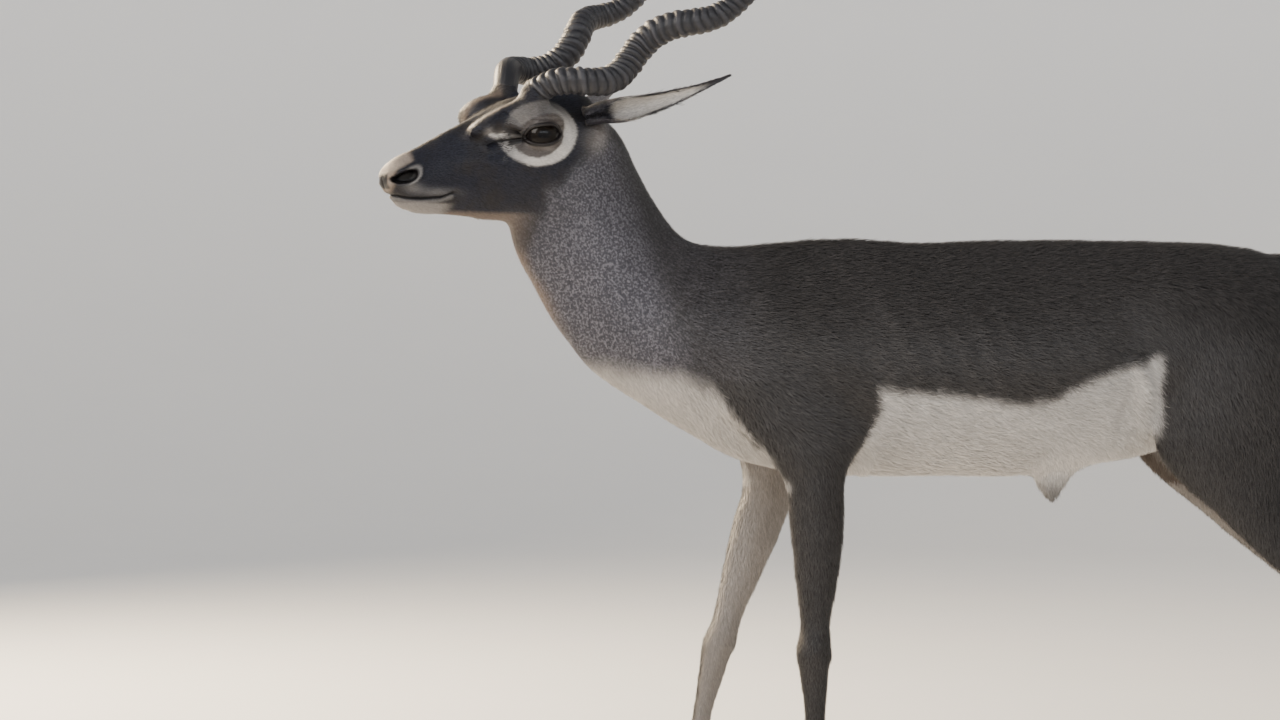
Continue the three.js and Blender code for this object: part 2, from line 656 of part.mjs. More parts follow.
// Legs: each is cut from the trunk by a slanting plane and one beside the middle of the body
for (const [name, side] of Object.entries(sides)) {
  const outside = (out) => ({
    point: new THREE.Vector3(0, out * side, 0),
    direction: new THREE.Vector3(0, side, 0),
  });
  const below = (z) => ({ point: inSideView(0, z), direction: new THREE.Vector3(0, 0, -1) });
  const ahead = { point: inSideView(elbow.back, 0), direction: new THREE.Vector3(-1, 0, 0) };
  const underElbow = sidePlane(inSideView(elbow.front, elbow.z), inSideView(elbow.back, elbow.z - 15));
  const underFlank = sidePlane(inSideView(flank.x, flank.z), inSideView(flank.x + 270, flank.z + 90));
  const cuts = {
    lower_foreleg: [outside(legInnerSide), ahead, below(kneeHeight)],
    upper_foreleg: [outside(elbow.out), ahead, underElbow],
    lower_hindleg: [outside(legInnerSide), below(hockHeight)],
    upper_hindleg: [outside(legInnerSide), underFlank],
  };
  for (const [part, planes] of Object.entries(cuts))
    model.add(meshOf(`${part}_${name}`, takeOff(planes), "dark"));
}

// Head, neck and tail, by planes across them, and what is left is the torso
const nape = inHeadView(292, 92);
const throat = inHeadView(190, -60);
const withers = inSideView(-318, withersHeight + 4);
const breast = inSideView(-446, 628);
const tailRoot = inSideView(471, 700);
model.add(meshOf("head", takeOff([sidePlane(nape, throat)]), "dark"));
model.add(meshOf("neck", takeOff([sidePlane(withers, breast)]), "neck"));
model.add(meshOf("tail", takeOff([{ point: tailRoot, direction: new THREE.Vector3(1, 0, 0) }]), "dark"));
model.add(meshOf("torso", body, "dark"));

// Hooves: two claws to a foot, just under the coronet
for (const [name, side] of Object.entries(sides))
  for (const [leg, stations] of Object.entries(steps[name])) {
    const coronet = stations[stations.length - 1];
    model.add(meshOf(`${leg}_claw_inner_${name}`, clawSolid(coronet, side, 1), "hoof"));
    model.add(meshOf(`${leg}_claw_outer_${name}`, clawSolid(coronet, side, -1), "hoof"));
  }

const box = new THREE.Box3().setFromObject(model);
const centre = box.getCenter(new THREE.Vector3());
model.position.set(-centre.x, -centre.y, -box.min.z);

export default model;
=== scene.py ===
import math

import bmesh
import bpy
import numpy as np
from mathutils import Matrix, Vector


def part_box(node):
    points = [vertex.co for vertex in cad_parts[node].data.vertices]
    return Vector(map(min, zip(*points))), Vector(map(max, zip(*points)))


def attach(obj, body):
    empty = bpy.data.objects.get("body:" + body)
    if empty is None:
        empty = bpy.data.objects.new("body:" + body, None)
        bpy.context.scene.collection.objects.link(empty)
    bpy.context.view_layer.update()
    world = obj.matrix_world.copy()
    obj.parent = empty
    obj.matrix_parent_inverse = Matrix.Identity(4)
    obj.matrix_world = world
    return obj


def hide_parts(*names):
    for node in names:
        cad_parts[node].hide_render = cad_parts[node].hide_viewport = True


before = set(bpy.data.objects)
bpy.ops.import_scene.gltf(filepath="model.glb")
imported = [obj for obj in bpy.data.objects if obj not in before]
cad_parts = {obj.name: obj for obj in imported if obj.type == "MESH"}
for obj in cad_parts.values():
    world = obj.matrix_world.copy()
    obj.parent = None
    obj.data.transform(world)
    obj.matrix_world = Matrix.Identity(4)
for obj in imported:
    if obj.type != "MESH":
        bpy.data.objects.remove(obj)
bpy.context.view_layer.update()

# Shapes are worked out in millimetres on the animal, then moved into the frame in metres
mm = 0.001
left, right = -1, 1
sides = {"left": left, "right": right}

# How the animal stands and how its head is set on the neck
body = {
    "poll": np.array([-451.0, 0, 869]),
    "headPivot": np.array([251.0, 0, 44]),
    "headTurn": math.radians(21),
    "headRoll": math.radians(3),
    "foreStep": -140,      # how far the right fore hoof stands ahead of the left one
    "hindStep": 66,        # how far the right hind hoof stands behind the left one
    "elbowHeight": 514,    # a foreleg is stepped from here down
    "hipHeight": 700,      # a hind leg is stepped from here down
    "voxel": 4.8,
}

# Sections of each part: top x z, bottom x z, distance out, four half-widths from top to bottom,
# share of the head's turn
trunkRows = [
    (462, 716, 463, 676, 0, 22, 32, 32, 22, 0),
    (451, 738, 451, 634, 0, 36, 60, 58, 36, 0),
    (416, 757, 412, 580, 0, 50, 88, 82, 44, 0),
    (356, 768, 352, 538, 0, 58, 106, 98, 54, 0),
    (288, 771, 286, 514, 0, 56, 104, 102, 60, 0),
    (218, 771.5, 216, 499, 0, 50, 98, 106, 70, 0),
    (138, 772, 136, 490, 0, 48, 100, 120, 82, 0),
    (48, 770, 48, 486, 0, 46, 104, 130, 88, 0),
    (-40, 767, -40, 484, 0, 44, 102, 130, 88, 0),
    (-106, 771, -112, 484, 0, 38, 96, 124, 80, 0),
    (-160, 770, -182, 488, 0, 32, 90, 117, 70, 0),
    (-208, 766, -254, 503, 0, 32, 84, 110, 64, 0),
    (-250, 762, -318, 538, 0, 34, 77, 100, 60, 0),
    (-288, 762, -378, 574, 0, 36, 72, 90, 58, 0),
    (-314, 768, -430, 610, 0, 38, 67, 80, 56, 0.08),
    (-334, 786, -467, 654, 0, 38, 64, 72, 56, 0.2),
    (-352, 814, -496, 704, 0, 38, 62, 66, 55, 0.4),
    (-370, 850, -525, 747, 0, 38, 60, 63, 53, 0.65),
    (-386, 886, -535, 791, 0, 38, 58, 61, 49, 0.88),
    (-406, 912, -520, 842, 0, 28, 45, 50, 42, 1),
]
skullRows = [
    (-1, 13, 2, -10, 0, 9, 14, 13, 9, 0),
    (5, 22, 11, -19, 0, 16, 22, 20, 13, 0),
    (15, 30, 25, -29, 0, 19, 27, 25, 16, 0),
    (33, 38.5, 46, -35, 0, 19, 28, 27, 17, 0),
    (60, 53, 74, -35, 0, 19, 30, 29, 17, 0),
    (94, 70.5, 108, -37, 0, 21, 35, 35, 19, 0),
    (126, 87, 142, -41, 0, 31, 45, 43, 22, 0),
    (156, 102, 172, -43, 0, 42, 54, 49, 25, 0),
    (186, 112, 200, -38, 0, 46, 56, 53, 30, 0),
    (218, 114, 226, -20, 0, 42, 53, 52, 34, 0),
    (248, 112, 250, 4, 0, 37, 48, 48, 36, 0),
    (272, 101, 272, 26, 0, 29, 43, 43, 31, 0),
    (287, 78, 287, 44, 0, 16, 25, 25, 16, 0),
]
forelegRows = [
    (-244, 698, -176, 698, 24, 6, 20, 20, 6, 0),
    (-290, 654, -142, 656, 45, 10, 37, 35, 10, 0),
    (-308, 606, -116, 610, 60, 14, 41, 39, 10, 0),
    (-284, 560, -110, 566, 68, 20, 39, 36, 14, 0),
    (-246, 516, -122, 523, 75, 23, 36, 33, 16, 0),
    (-217, 476, -139, 484, 76, 22, 31, 29, 16, 0),
    (-211, 436, -141, 442, 75, 20, 27, 25, 16, 0),
    (-205, 392, -145, 395, 73, 18, 23, 22, 14, 0),
    (-199, 350, -152, 351, 71, 16, 19, 18, 13, 0),
    (-195, 314, -158, 314, 69, 15, 17, 16, 13, 0),
    (-198, 283, -157, 283, 68, 16, 20, 19, 16, 0),
    (-195, 252, -159, 252, 67, 13, 16, 15, 12, 0),
    (-190, 216, -162, 214, 66, 10, 12, 11, 9, 0),
    (-188, 160, -163, 158, 65, 9, 11, 10.5, 9, 0),
    (-190, 124, -160, 120, 65, 11, 13, 12.5, 11, 0),
    (-194, 98, -156, 92, 65, 13, 17, 17, 13, 0),
    (-203, 73, -170, 63, 65, 12, 15, 15, 12, 0),
    (-213, 50, -173, 38, 65, 13, 17.5, 18, 14, 0),
]
hindlegRows = [
    (320, 740, 395, 740, 24, 6, 18, 18, 6, 0),
    (284, 700, 426, 712, 44, 8, 38, 38, 12, 0),
    (258, 646, 446, 678, 59, 14, 46, 45, 22, 0),
    (244, 592, 454, 638, 65, 18, 48, 45, 24, 0),
    (238, 546, 452, 598, 68, 22, 46, 41, 22, 0),
    (247, 504, 444, 560, 70, 24, 41, 36, 19, 0),
    (282, 468, 434, 526, 70, 22, 34, 29, 15, 0),
    (322, 437, 429, 489, 69, 18, 27, 22, 11, 0),
    (361, 404, 436, 452, 67, 15, 21, 16, 9, 0),
    (399, 373, 452, 416, 65, 13, 17, 12, 8, 0),
    (433, 344, 482, 381, 63, 13, 15, 10, 8, 0),
    (463, 311, 525, 342, 61, 15, 18, 14, 10, 0),
    (472, 284, 519, 292, 61, 14, 15.5, 13, 10, 0),
    (476, 250, 510, 252, 60, 11, 12.5, 11.5, 9, 0),
    (477, 200, 507, 200, 60, 10, 11.5, 11, 9, 0),
    (474, 150, 503, 150, 60, 10, 11.5, 11, 9, 0),
    (470, 122, 502, 118, 60, 12, 14, 13, 11, 0),
    (466, 98, 505, 91, 60, 13, 17, 17, 13, 0),
    (457, 73, 490, 63, 60, 12, 15, 15, 12, 0),
    (447, 50, 487, 38, 60, 13, 17.5, 18, 14, 0),
]
tailRows = [
    (424, 762, 418, 728, 0, 10, 18, 18, 12, 0),
    (456, 756, 444, 720, 0, 12, 20, 20, 12, 0),
    (481, 734, 459, 706, 0, 12, 20, 20, 12, 0),
    (490, 694, 467, 680, 0, 10, 18, 18, 10, 0),
    (489, 652, 473, 646, 0, 8, 12, 12, 8, 0),
    (485, 622, 477, 620, 0, 4, 7, 7, 4, 0),
]
sheathRows = [
    (98, 504, 200, 506, 0, 8, 17, 15, 8, 0),
    (114, 484, 174, 487, 0, 8, 14, 13, 7, 0),
    (123, 470, 158, 473, 0, 7, 11, 10, 6, 0),
    (130, 460, 150, 462, 0, 5, 8, 7, 5, 0),
    (135, 454, 143, 454, 0, 2, 3, 3, 2, 0),
]

eye = {
    "centre": (184, 37, 59), "radius": 21.6, "aim": (-0.36, 0.93, 0.1), "tilt": 0.12,
    "halfLength": 26, "upper": 11.0, "lower": 11.2, "tearLength": 16,
    "bulge": 0.9, "lidOver": 2.3, "hollow": 7, "edgeOver": 1.0, "edgeThick": 1.55,
}
ear = {
    "root": (257, 43, 91), "along": (0.815, 0.494, 0.297), "opens": (-0.45, 0.85, -0.15),
    "length": 161, "wall": 1.5, "bow": 6, "sag": 7.5,
    # share of the length, half-width, half the angle that the cup closes round
    "rows": [(-0.12, 9.5, 165), (0, 11.5, 152), (0.1, 13.3, 126), (0.2, 13.8, 104), (0.34, 11.6, 90),
             (0.5, 9.0, 78), (0.64, 6.3, 70), (0.78, 3.8, 64), (0.9, 2.2, 62), (0.99, 0.9, 60)],
}
horn = {
    "root": (174, 37.4, 107.7), "along": (0.824, 0.269, 0.499), "length": 504, "sunk": 12,
    "pitch": 150, "waveRadius": 16.9, "waveFade": 1.4, "highestAt": {left: 16, right: 34.5},
    "radius": 15.6, "tipRadius": 1.3, "thickest": {"at": 145, "reach": 55, "more": 1.6},
    "ringStep": 9.3, "ringHeight": 2.4, "smoothBase": {left: 0, right: 46},
    # the skin's collar reaches this far up the horn, and starts this far under its foot
    "collar": 7, "collarRoot": 34,
}
# a swelling under the front of each horn, tilted up towards it; the right one stands higher
brow = {
    left: {"centre": (132, 27, 79), "radii": (46, 15, 10), "tilt": 0.49},
    right: {"centre": (139, 31, 88), "radii": (32, 20, 16.5), "tilt": 0.44},
}
mouthLine = [(-5, -12.5), (6, -13), (16, -14.5), (22, -16), (38, -16.3), (64, -14), (78, -8.5)]


def smoothstep(low, high, value):
    t = np.clip((value - low) / (high - low), 0, 1)
    return t * t * (3 - 2 * t)


def unit(v):
    v = np.asarray(v, float)
    return v / np.maximum(np.linalg.norm(v, axis=-1, keepdims=True), 1e-12)


def ripple(points, size, seed):
    # soft irregular waves: a sum of five sines along seeded directions, about -1 to 1
    rng = np.random.default_rng(seed)
    total = np.zeros(len(points))
    for _ in range(5):
        direction = unit(rng.normal(size=3)) * rng.uniform(0.6, 1.5) * 2 * np.pi / size
        total += np.sin(points @ direction + rng.uniform(0, 6.28))
    return total / 2.6


def smoothCurve(knots, values, at):
    # cubic through the values; each knot's slope is the mean of its neighbours', weighted by the other gap
    gap = np.diff(knots)[:, None]
    slope = np.diff(values, axis=0) / gap
    inner = (slope[:-1] * gap[1:] + slope[1:] * gap[:-1]) / (gap[1:] + gap[:-1])
    tangent = np.concatenate([slope[:1], inner, slope[-1:]])
    i = np.clip(np.searchsorted(knots, at, side="right") - 1, 0, len(knots) - 2)
    s = ((at - knots[i]) / gap[i, 0])[:, None]
    r = 1 - s
    return (values[i] * (1 + 2 * s) * r**2 + tangent[i] * gap[i] * s * r**2
            + values[i + 1] * s**2 * (3 - 2 * s) - tangent[i + 1] * gap[i] * s**2 * r)


def middleLine(rows):
    rows = np.array(rows, float)
    middle = (rows[:, 0:2] + rows[:, 2:4]) / 2
    return middle, np.concatenate([[0], np.cumsum(np.linalg.norm(np.diff(middle, axis=0), axis=1))])


def tube(rows, step=6, around=48, side=1):
    # oval rings: top + (bottom - top) * (1 - cos a) / 2, and sideways the four-value cubic times sin a
    rows = np.array(rows, float)
    _, knots = middleLine(rows)
    v = smoothCurve(knots, rows, np.linspace(0, knots[-1], int(knots[-1] / step) + 2))
    a = np.linspace(0, 2 * np.pi, around, endpoint=False)
    share = (1 - np.cos(a)) / 2
    rest = 1 - share
    width = (v[:, 5:6] * rest**3 + 3 * v[:, 6:7] * share * rest**2
             + 3 * v[:, 7:8] * share**2 * rest + v[:, 8:9] * share**3)
    x = v[:, 0:1] + (v[:, 2:3] - v[:, 0:1]) * share
    z = v[:, 1:2] + (v[:, 3:4] - v[:, 1:2]) * share
    y = v[:, 4:5] * side + width * np.sin(a)
    turned = v[:, 9:10] * body["headTurn"]
    px, py = x - body["poll"][0], y
    return np.stack([body["poll"][0] + px * np.cos(turned) - py * np.sin(turned),
                     px * np.sin(turned) + py * np.cos(turned), z], -1)


def headAxes():
    t, r = body["headTurn"], body["headRoll"]
    turn = np.array([[math.cos(t), -math.sin(t), 0], [math.sin(t), math.cos(t), 0], [0, 0, 1]])
    roll = np.array([[1, 0, 0], [0, math.cos(r), -math.sin(r)], [0, math.sin(r), math.cos(r)]])
    return turn @ roll


headRotation = headAxes()


def fromHead(points):
    points = np.asarray(points, float)
    flat = (points.reshape(-1, 3) - body["headPivot"]) @ headRotation.T + body["poll"]
    return flat.reshape(points.shape)


def toHead(points):
    return (points - body["poll"]) @ headRotation + body["headPivot"]


def mirrored(point, side):
    return np.array([point[0], point[1] * side, point[2]], float)


def folded(points):
    # both sides brought onto the right one
    return np.stack([points[:, 0], np.abs(points[:, 1]), points[:, 2]], 1)


# The animal's place in the frame: the left eye of the solids says where its own zero lies
eyeBox = np.array([list(corner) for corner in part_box("eye_left")])
shift = eyeBox.mean(0) / mm - fromHead([mirrored(eye["centre"], left)])[0]
print("animal moved by", np.round(shift, 2))


def intoFrame(points):
    return (points + shift) * mm


def intoHoof(rows):
    # one more section, narrower, that ends inside the claws
    last = np.array(rows[-1], float)
    lower = last * 1
    lower[[0, 1, 2, 3]] += (-1, -13, -3, -10)
    lower[5:9] *= 0.85
    return np.vstack([np.array(rows, float), lower])


def stepped(rows, step, bend):
    # a leg that is set forwards or back: step * (1 - (height / bend's height) ^ 1.5) under the bend
    rows = np.array(rows, float)
    for ix, iz in ((0, 1), (2, 3)):
        z = np.minimum(rows[:, iz], bend)
        rows[:, ix] += step * (1 - (z / bend) ** 1.5)
    return rows


legRows = {
    ("fore", left): np.array(forelegRows, float), ("hind", left): np.array(hindlegRows, float),
    ("fore", right): stepped(forelegRows, body["foreStep"], body["elbowHeight"]),
    ("hind", right): stepped(hindlegRows, body["hindStep"], body["hipHeight"]),
}


def ballGrid(centre, radii, rings=24, around=32):
    # p = centre + radii * (cos v, sin v cos u, sin v sin u)
    v = np.linspace(0.02, np.pi - 0.02, rings)[:, None]
    u = np.linspace(0, 2 * np.pi, around, endpoint=False)[None]
    p = np.stack([np.cos(v) + 0 * u, np.sin(v) * np.cos(u), np.sin(v) * np.sin(u)], -1)
    return p * np.asarray(radii) + np.asarray(centre)


def gridFaces(rows, columns, start=0, closedRows=False):
    i, j = np.meshgrid(np.arange(rows if closedRows else rows - 1), np.arange(columns), indexing="ij")
    a, b = i * columns + j, i * columns + (j + 1) % columns
    c, d = ((i + 1) % rows) * columns + (j + 1) % columns, ((i + 1) % rows) * columns + j
    return np.stack([a, b, c, d], -1).reshape(-1, 4) + start


def hornPath(side, s):
    # along * s + up * cos(f) w + out * sin(f) w, with f = 2 pi (s - highest) / pitch
    # and w = the wave's radius * (1 - s / length) ^ fade
    along = unit(mirrored(horn["along"], side))
    up = np.array([0, 0, 1.0])
    up = unit(up - along * (up @ along))
    out = np.array([0, side, 0.0])
    out = unit(out - along * (out @ along) - up * (out @ up))

    def swung(at):
        f = 2 * np.pi * (at - horn["highestAt"][side]) / horn["pitch"]
        w = horn["waveRadius"] * np.clip(1 - at / horn["length"], 0, None) ** horn["waveFade"]
        return along * at[:, None] + up * (np.cos(f) * w)[:, None] + out * (np.sin(f) * w)[:, None]

    return swung(s) - swung(np.zeros(1)) + mirrored(horn["root"], side), up, out


def ringsAlong(path, up, radius, around):
    # rings square to the path, their first point towards up
    tangent = unit(np.gradient(path, axis=0))
    e1 = unit(up - tangent * (tangent @ up)[:, None])
    e2 = np.cross(tangent, e1)
    a = np.linspace(0, 2 * np.pi, around, endpoint=False)[None, :, None]
    return path[:, None] + (e1[:, None] * np.cos(a) + e2[:, None] * np.sin(a)) * radius[..., None]


def closedFaces(rows, columns, start=0):
    # the side faces, and one face over each end
    faces = gridFaces(rows, columns, start).tolist()
    faces.append(list(range(start + columns - 1, start - 1, -1)))
    last = start + (rows - 1) * columns
    faces.append(list(range(last, last + columns)))
    return faces


def linked(name, data):
    made = bpy.data.objects.new(name, data)
    bpy.context.scene.collection.objects.link(made)
    return made


def newObject(name, points, faces):
    mesh = bpy.data.meshes.new(name)
    mesh.from_pydata(points.tolist(), [], faces)
    mesh.update()
    mesh.polygons.foreach_set("use_smooth", np.ones(len(mesh.polygons), bool))
    return linked(name, mesh)


def outwards(made):
    edit = bmesh.new()
    edit.from_mesh(made.data)
    bmesh.ops.recalc_face_normals(edit, faces=edit.faces)
    edit.to_mesh(made.data)
    edit.free()
    made.data.update()


def pointsOf(mesh):
    flat = np.empty(len(mesh.vertices) * 3)
    mesh.vertices.foreach_get("co", flat)
    return flat.reshape(-1, 3)


def setPoints(mesh, points):
    mesh.vertices.foreach_set("co", np.ascontiguousarray(points).ravel())
    mesh.update()


def normalsOf(mesh):
    flat = np.empty(len(mesh.vertices) * 3)
    mesh.vertex_normals.foreach_get("vector", flat)
    return flat.reshape(-1, 3)


def edgesOf(mesh):
    flat = np.empty(len(mesh.edges) * 2, np.int32)
    mesh.edges.foreach_get("vertices", flat)
    return flat.reshape(-1, 2)


def relax(points, edges, rounds, share, back=0.0):
    # each point moves by share of the way to the mean of its neighbours, then away by back of it
    count = len(points)
    both = np.concatenate([edges, edges[:, ::-1]])
    degree = np.maximum(np.bincount(both[:, 0], minlength=count), 1)[:, None]
    for _ in range(rounds):
        for amount in (share, -back) if np.any(back) else (share,):
            mean = np.stack([np.bincount(both[:, 0], points[both[:, 1], k], count) for k in range(3)], 1)
            points = points + np.asarray(amount) * (mean / degree - points)
    return points


def setValues(mesh, name, values):
    made = mesh.attributes.new(name, "FLOAT", "POINT")
    made.data.foreach_set("value", np.asarray(values, np.float32).ravel())


# Rough body: the parts as closed tubes that run into each other
def roughBody():
    grids = [tube(trunkRows), tube(sheathRows, 4, 24), tube(tailRows, 4, 24)]
    grids.append(fromHead(tube(skullRows, 3)))
    for side in sides.values():
        orbit = ballGrid(mirrored((186, 38, 63), side), (38, 19, 30))
        ridge = brow[side]
        c, d = math.cos(ridge["tilt"]), math.sin(ridge["tilt"])
        over = ballGrid((0, 0, 0), ridge["radii"]) @ np.array([[c, 0, d], [0, 1, 0], [-d, 0, c]])
        over = over + mirrored(ridge["centre"], side)
        s = np.linspace(-horn["collarRoot"], horn["collar"], 24)
        path, up, _ = hornPath(side, s)
        wide = (horn["radius"] + 1.6) * (0.3 + 0.7 * smoothstep(-horn["collarRoot"], 0, s))
        collar = ringsAlong(path, up, wide[:, None] + np.zeros((1, 32)), 32)
        grids += [fromHead(grid) for grid in (orbit, over, collar)]
        for kind in ("fore", "hind"):
            grids.append(tube(intoHoof(legRows[kind, side]), 5, 32, side))
    points, faces, start = [], [], 0
    for grid in grids:
        rows, columns = grid.shape[:2]
        points.append(grid.reshape(-1, 3))
        faces += closedFaces(rows, columns, start)
        start += rows * columns
    return np.concatenate(points), faces


def remeshed(points, faces, size):
    rough = newObject("rough", points * mm, faces)
    join = rough.modifiers.new("join", "REMESH")
    join.mode = "VOXEL"
    join.voxel_size = size * mm
    graph = bpy.context.evaluated_depsgraph_get()
    mesh = bpy.data.meshes.new_from_object(rough.evaluated_get(graph))
    bpy.data.objects.remove(rough)
    setPoints(mesh, pointsOf(mesh) / mm)
    return mesh


def subdivideWhere(mesh, chosen):
    # cuts the chosen faces in four
    edit = bmesh.new()
    edit.from_mesh(mesh)
    edit.faces.ensure_lookup_table()
    edges = {e for k in np.flatnonzero(chosen) for e in edit.faces[k].edges}
    bmesh.ops.subdivide_edges(edit, edges=list(edges), cuts=1, use_grid_fill=True)
    edit.to_mesh(mesh)
    edit.free()
    mesh.update()


def faceCentres(mesh):
    flat = np.empty(len(mesh.polygons) * 3)
    mesh.polygons.foreach_get("center", flat)
    return flat.reshape(-1, 3)


def nearTo(points, centre, reach):
    # exp(-|(p - centre) / reach|^2)
    return np.exp(-(((points - np.asarray(centre)) / np.asarray(reach)) ** 2).sum(-1))


def eyeFrame(side):
    out = unit(mirrored(eye["aim"], side))
    back = np.array([1, 0, math.tan(eye["tilt"])])
    back = unit(back - out * (back @ out))
    return out, back, unit(np.cross(back, out)) * side


def onEye(headPoints, side):
    # distance from the eye's middle, and arcs along and across the opening
    out, back, up = eyeFrame(side)
    d = headPoints - mirrored(eye["centre"], side)
    r = np.linalg.norm(d, axis=1)
    u = d / np.maximum(r, 1e-6)[:, None]
    along = eye["radius"] * np.arctan2(u @ back, u @ out)
    return r, along, eye["radius"] * np.arcsin(np.clip(u @ up, -1, 1))


def lidHeight(a, upper):
    # half-height of the almond: flat above, h (1 - |a / half length|^3.4)^0.66, and round below,
    # with 2 and 0.8 in their place
    share = np.minimum(np.abs(a / eye["halfLength"]), 1)
    above, below = eye["upper"] * (1 - share**3.4) ** 0.66, eye["lower"] * (1 - share**2) ** 0.8
    return np.where(upper, above, below)


def outsideLid(a, b):
    # how far a point on the ball lies outside the almond, negative inside
    h = lidHeight(a, b > 0)
    past = np.maximum(np.abs(a) - eye["halfLength"], 0)
    return np.where(past > 0, np.hypot(past, b), np.abs(b) - h)


def lineDistance(x, z, line):
    # distance in the side view from each point to the nearest piece of a broken line
    best = np.full(len(x), 1e9)
    for (ax, az), (bx, bz) in zip(line[:-1], line[1:]):
        t = np.clip(((x - ax) * (bx - ax) + (z - az) * (bz - az)) / ((bx - ax) ** 2 + (bz - az) ** 2), 0, 1)
        best = np.minimum(best, np.hypot(x - ax - t * (bx - ax), z - az - t * (bz - az)))
    return best


def spot(x, z, centre, half):
    # exp(-((x - cx) / rx)^2 - ((z - cz) / rz)^2)
    return np.exp(-(((x - centre[0]) / half[0]) ** 2 + ((z - centre[1]) / half[1]) ** 2))


def streak(x, z, line, width):
    # exp(-(distance / width)^2)
    return np.exp(-((lineDistance(x, z, line) / width) ** 2))


nostril = {"centre": (17.5, 7), "half": (15.8, 6.8), "tilt": 0.36, "depth": 14}
tearPit = {"line": [(118, 47), (127, 51), (136, 55)], "depth": 2.4}


def fromNostril(x, z):
    # 0 in the middle of a slanting comma in the side view, 1 on its rim
    s, c = math.sin(nostril["tilt"]), math.cos(nostril["tilt"])
    u = (x - nostril["centre"][0]) * c + (z - nostril["centre"][1]) * s
    v = -(x - nostril["centre"][0]) * s + (z - nostril["centre"][1]) * c
    v = v - 0.009 * u * u + 0.8
    return np.hypot(u / nostril["half"][0], v / nostril["half"][1])


# Swellings and hollows of the head: place, reach, push (back, out, up)
headRelief = [
    ((196, 54, 10), (34, 40, 30), (0, 5.5, -1)),        # cheek muscle
    ((204, 52, -22), (26, 30, 14), (0, 2, -2.5)),       # jaw angle
    ((128, 38, 44), (20, 24, 15), (0, -5, 0)),          # hollow ahead of the eye
    ((112, 36, 8), (36, 22, 14), (0, -2.5, 0)),         # hollow behind the lips
    ((118, 34, 28), (30, 14, 6), (0, 1.6, 0)),          # bone under the eye, running forwards
    ((158, 48, 32), (26, 18, 7), (0, 2.2, 0)),
    ((158, 44, 91), (22, 16, 14), (-2, 4, 2.5)),        # brow
    ((196, 50, 88), (18, 16, 12), (0, 3, 3)),
    ((232, 46, 88), (16, 16, 14), (0, -2.5, -1)),       # temple
    ((252, 47, 76), (16, 15, 17), (0, 4, 2)),           # round the ear's root
    ((176, 36, 110), (20, 17, 12), (0, 1, 1.5)),        # round the horn's root
    ((190, 0, 114), (26, 12, 12), (0, 0, -3)),          # dip between the horns
    ((250, 0, 110), (30, 26, 16), (0, 0, 4.5)),         # back of the crown
    ((2, 0, 3), (12, 22, 14), (-2.6, 0, 0)),            # front of the nose
    ((70, 14, 55), (40, 6, 10), (0, 0.8, 1)),           # edges of the nose bone
    ((15, 20, 15), (13, 10, 8), (-1, 3, 2)),            # nostril wing
    ((30, 22, 4), (8, 9, 11), (0, 2, 0)),
    ((46, 25, -9), (26, 14, 6), (0, 1.8, 0)),           # upper lip
    ((36, 20, -25), (26, 14, 7), (0, 1.6, -0.6)),       # lower lip
    ((20, 6, -26), (10, 12, 7), (-2, 0, -1)),           # chin
]

# The same for trunk and legs of the left and right side alike: place, reach, push along the normal
bodyRelief = [
    ((264, 78, 734), (34, 30, 24), 6),       # hip bone
    ((222, 96, 655), (44, 50, 44), -9),      # hollow of the flank
    ((207, 92, 556), (13, 44, 32), -7),      # hollow before the flank's fold
    ((90, 0, 486), (70, 80, 28), 5),         # belly
    ((300, 100, 620), (60, 40, 60), 4),      # thigh
    ((412, 80, 640), (16, 40, 70), -4),      # groove before the ham
    ((440, 62, 640), (20, 30, 70), 4),
    ((446, 40, 716), (16, 18, 16), 5),       # seat bone
    ((-112, 92, 630), (30, 50, 80), -4),     # behind the shoulder
    ((-190, 84, 650), (46, 40, 60), 3.5),    # shoulder muscles
    ((-262, 80, 610), (26, 40, 40), 4),      # point of the shoulder
    ((-232, 76, 700), (18, 40, 50), 2),      # shoulder blade's edge
    ((-266, 78, 680), (18, 40, 60), -1.5),
    ((-130, 96, 535), (20, 30, 18), 4),      # elbow
    ((-330, 62, 600), (26, 30, 40), 3),      # breast
    ((-372, 50, 700), (24, 40, 70), -4),     # hollow of the neck before the shoulder
    ((-450, 40, 690), (14, 26, 60), -3.5),   # groove beside the windpipe
    ((-486, 0, 700), (18, 18, 60), 2.5),
    ((-400, 52, 830), (26, 26, 40), -1.5),
]


def headShare(points, soft=14):
    # 1 ahead of the plane from the nape to the throat, 0 behind it
    h = toHead(points)
    away = ((292 - h[:, 0]) * 152 + (h[:, 2] - 92) * 102) / 183
    return smoothstep(-soft, soft, away) * smoothstep(700, 740, points[:, 2])


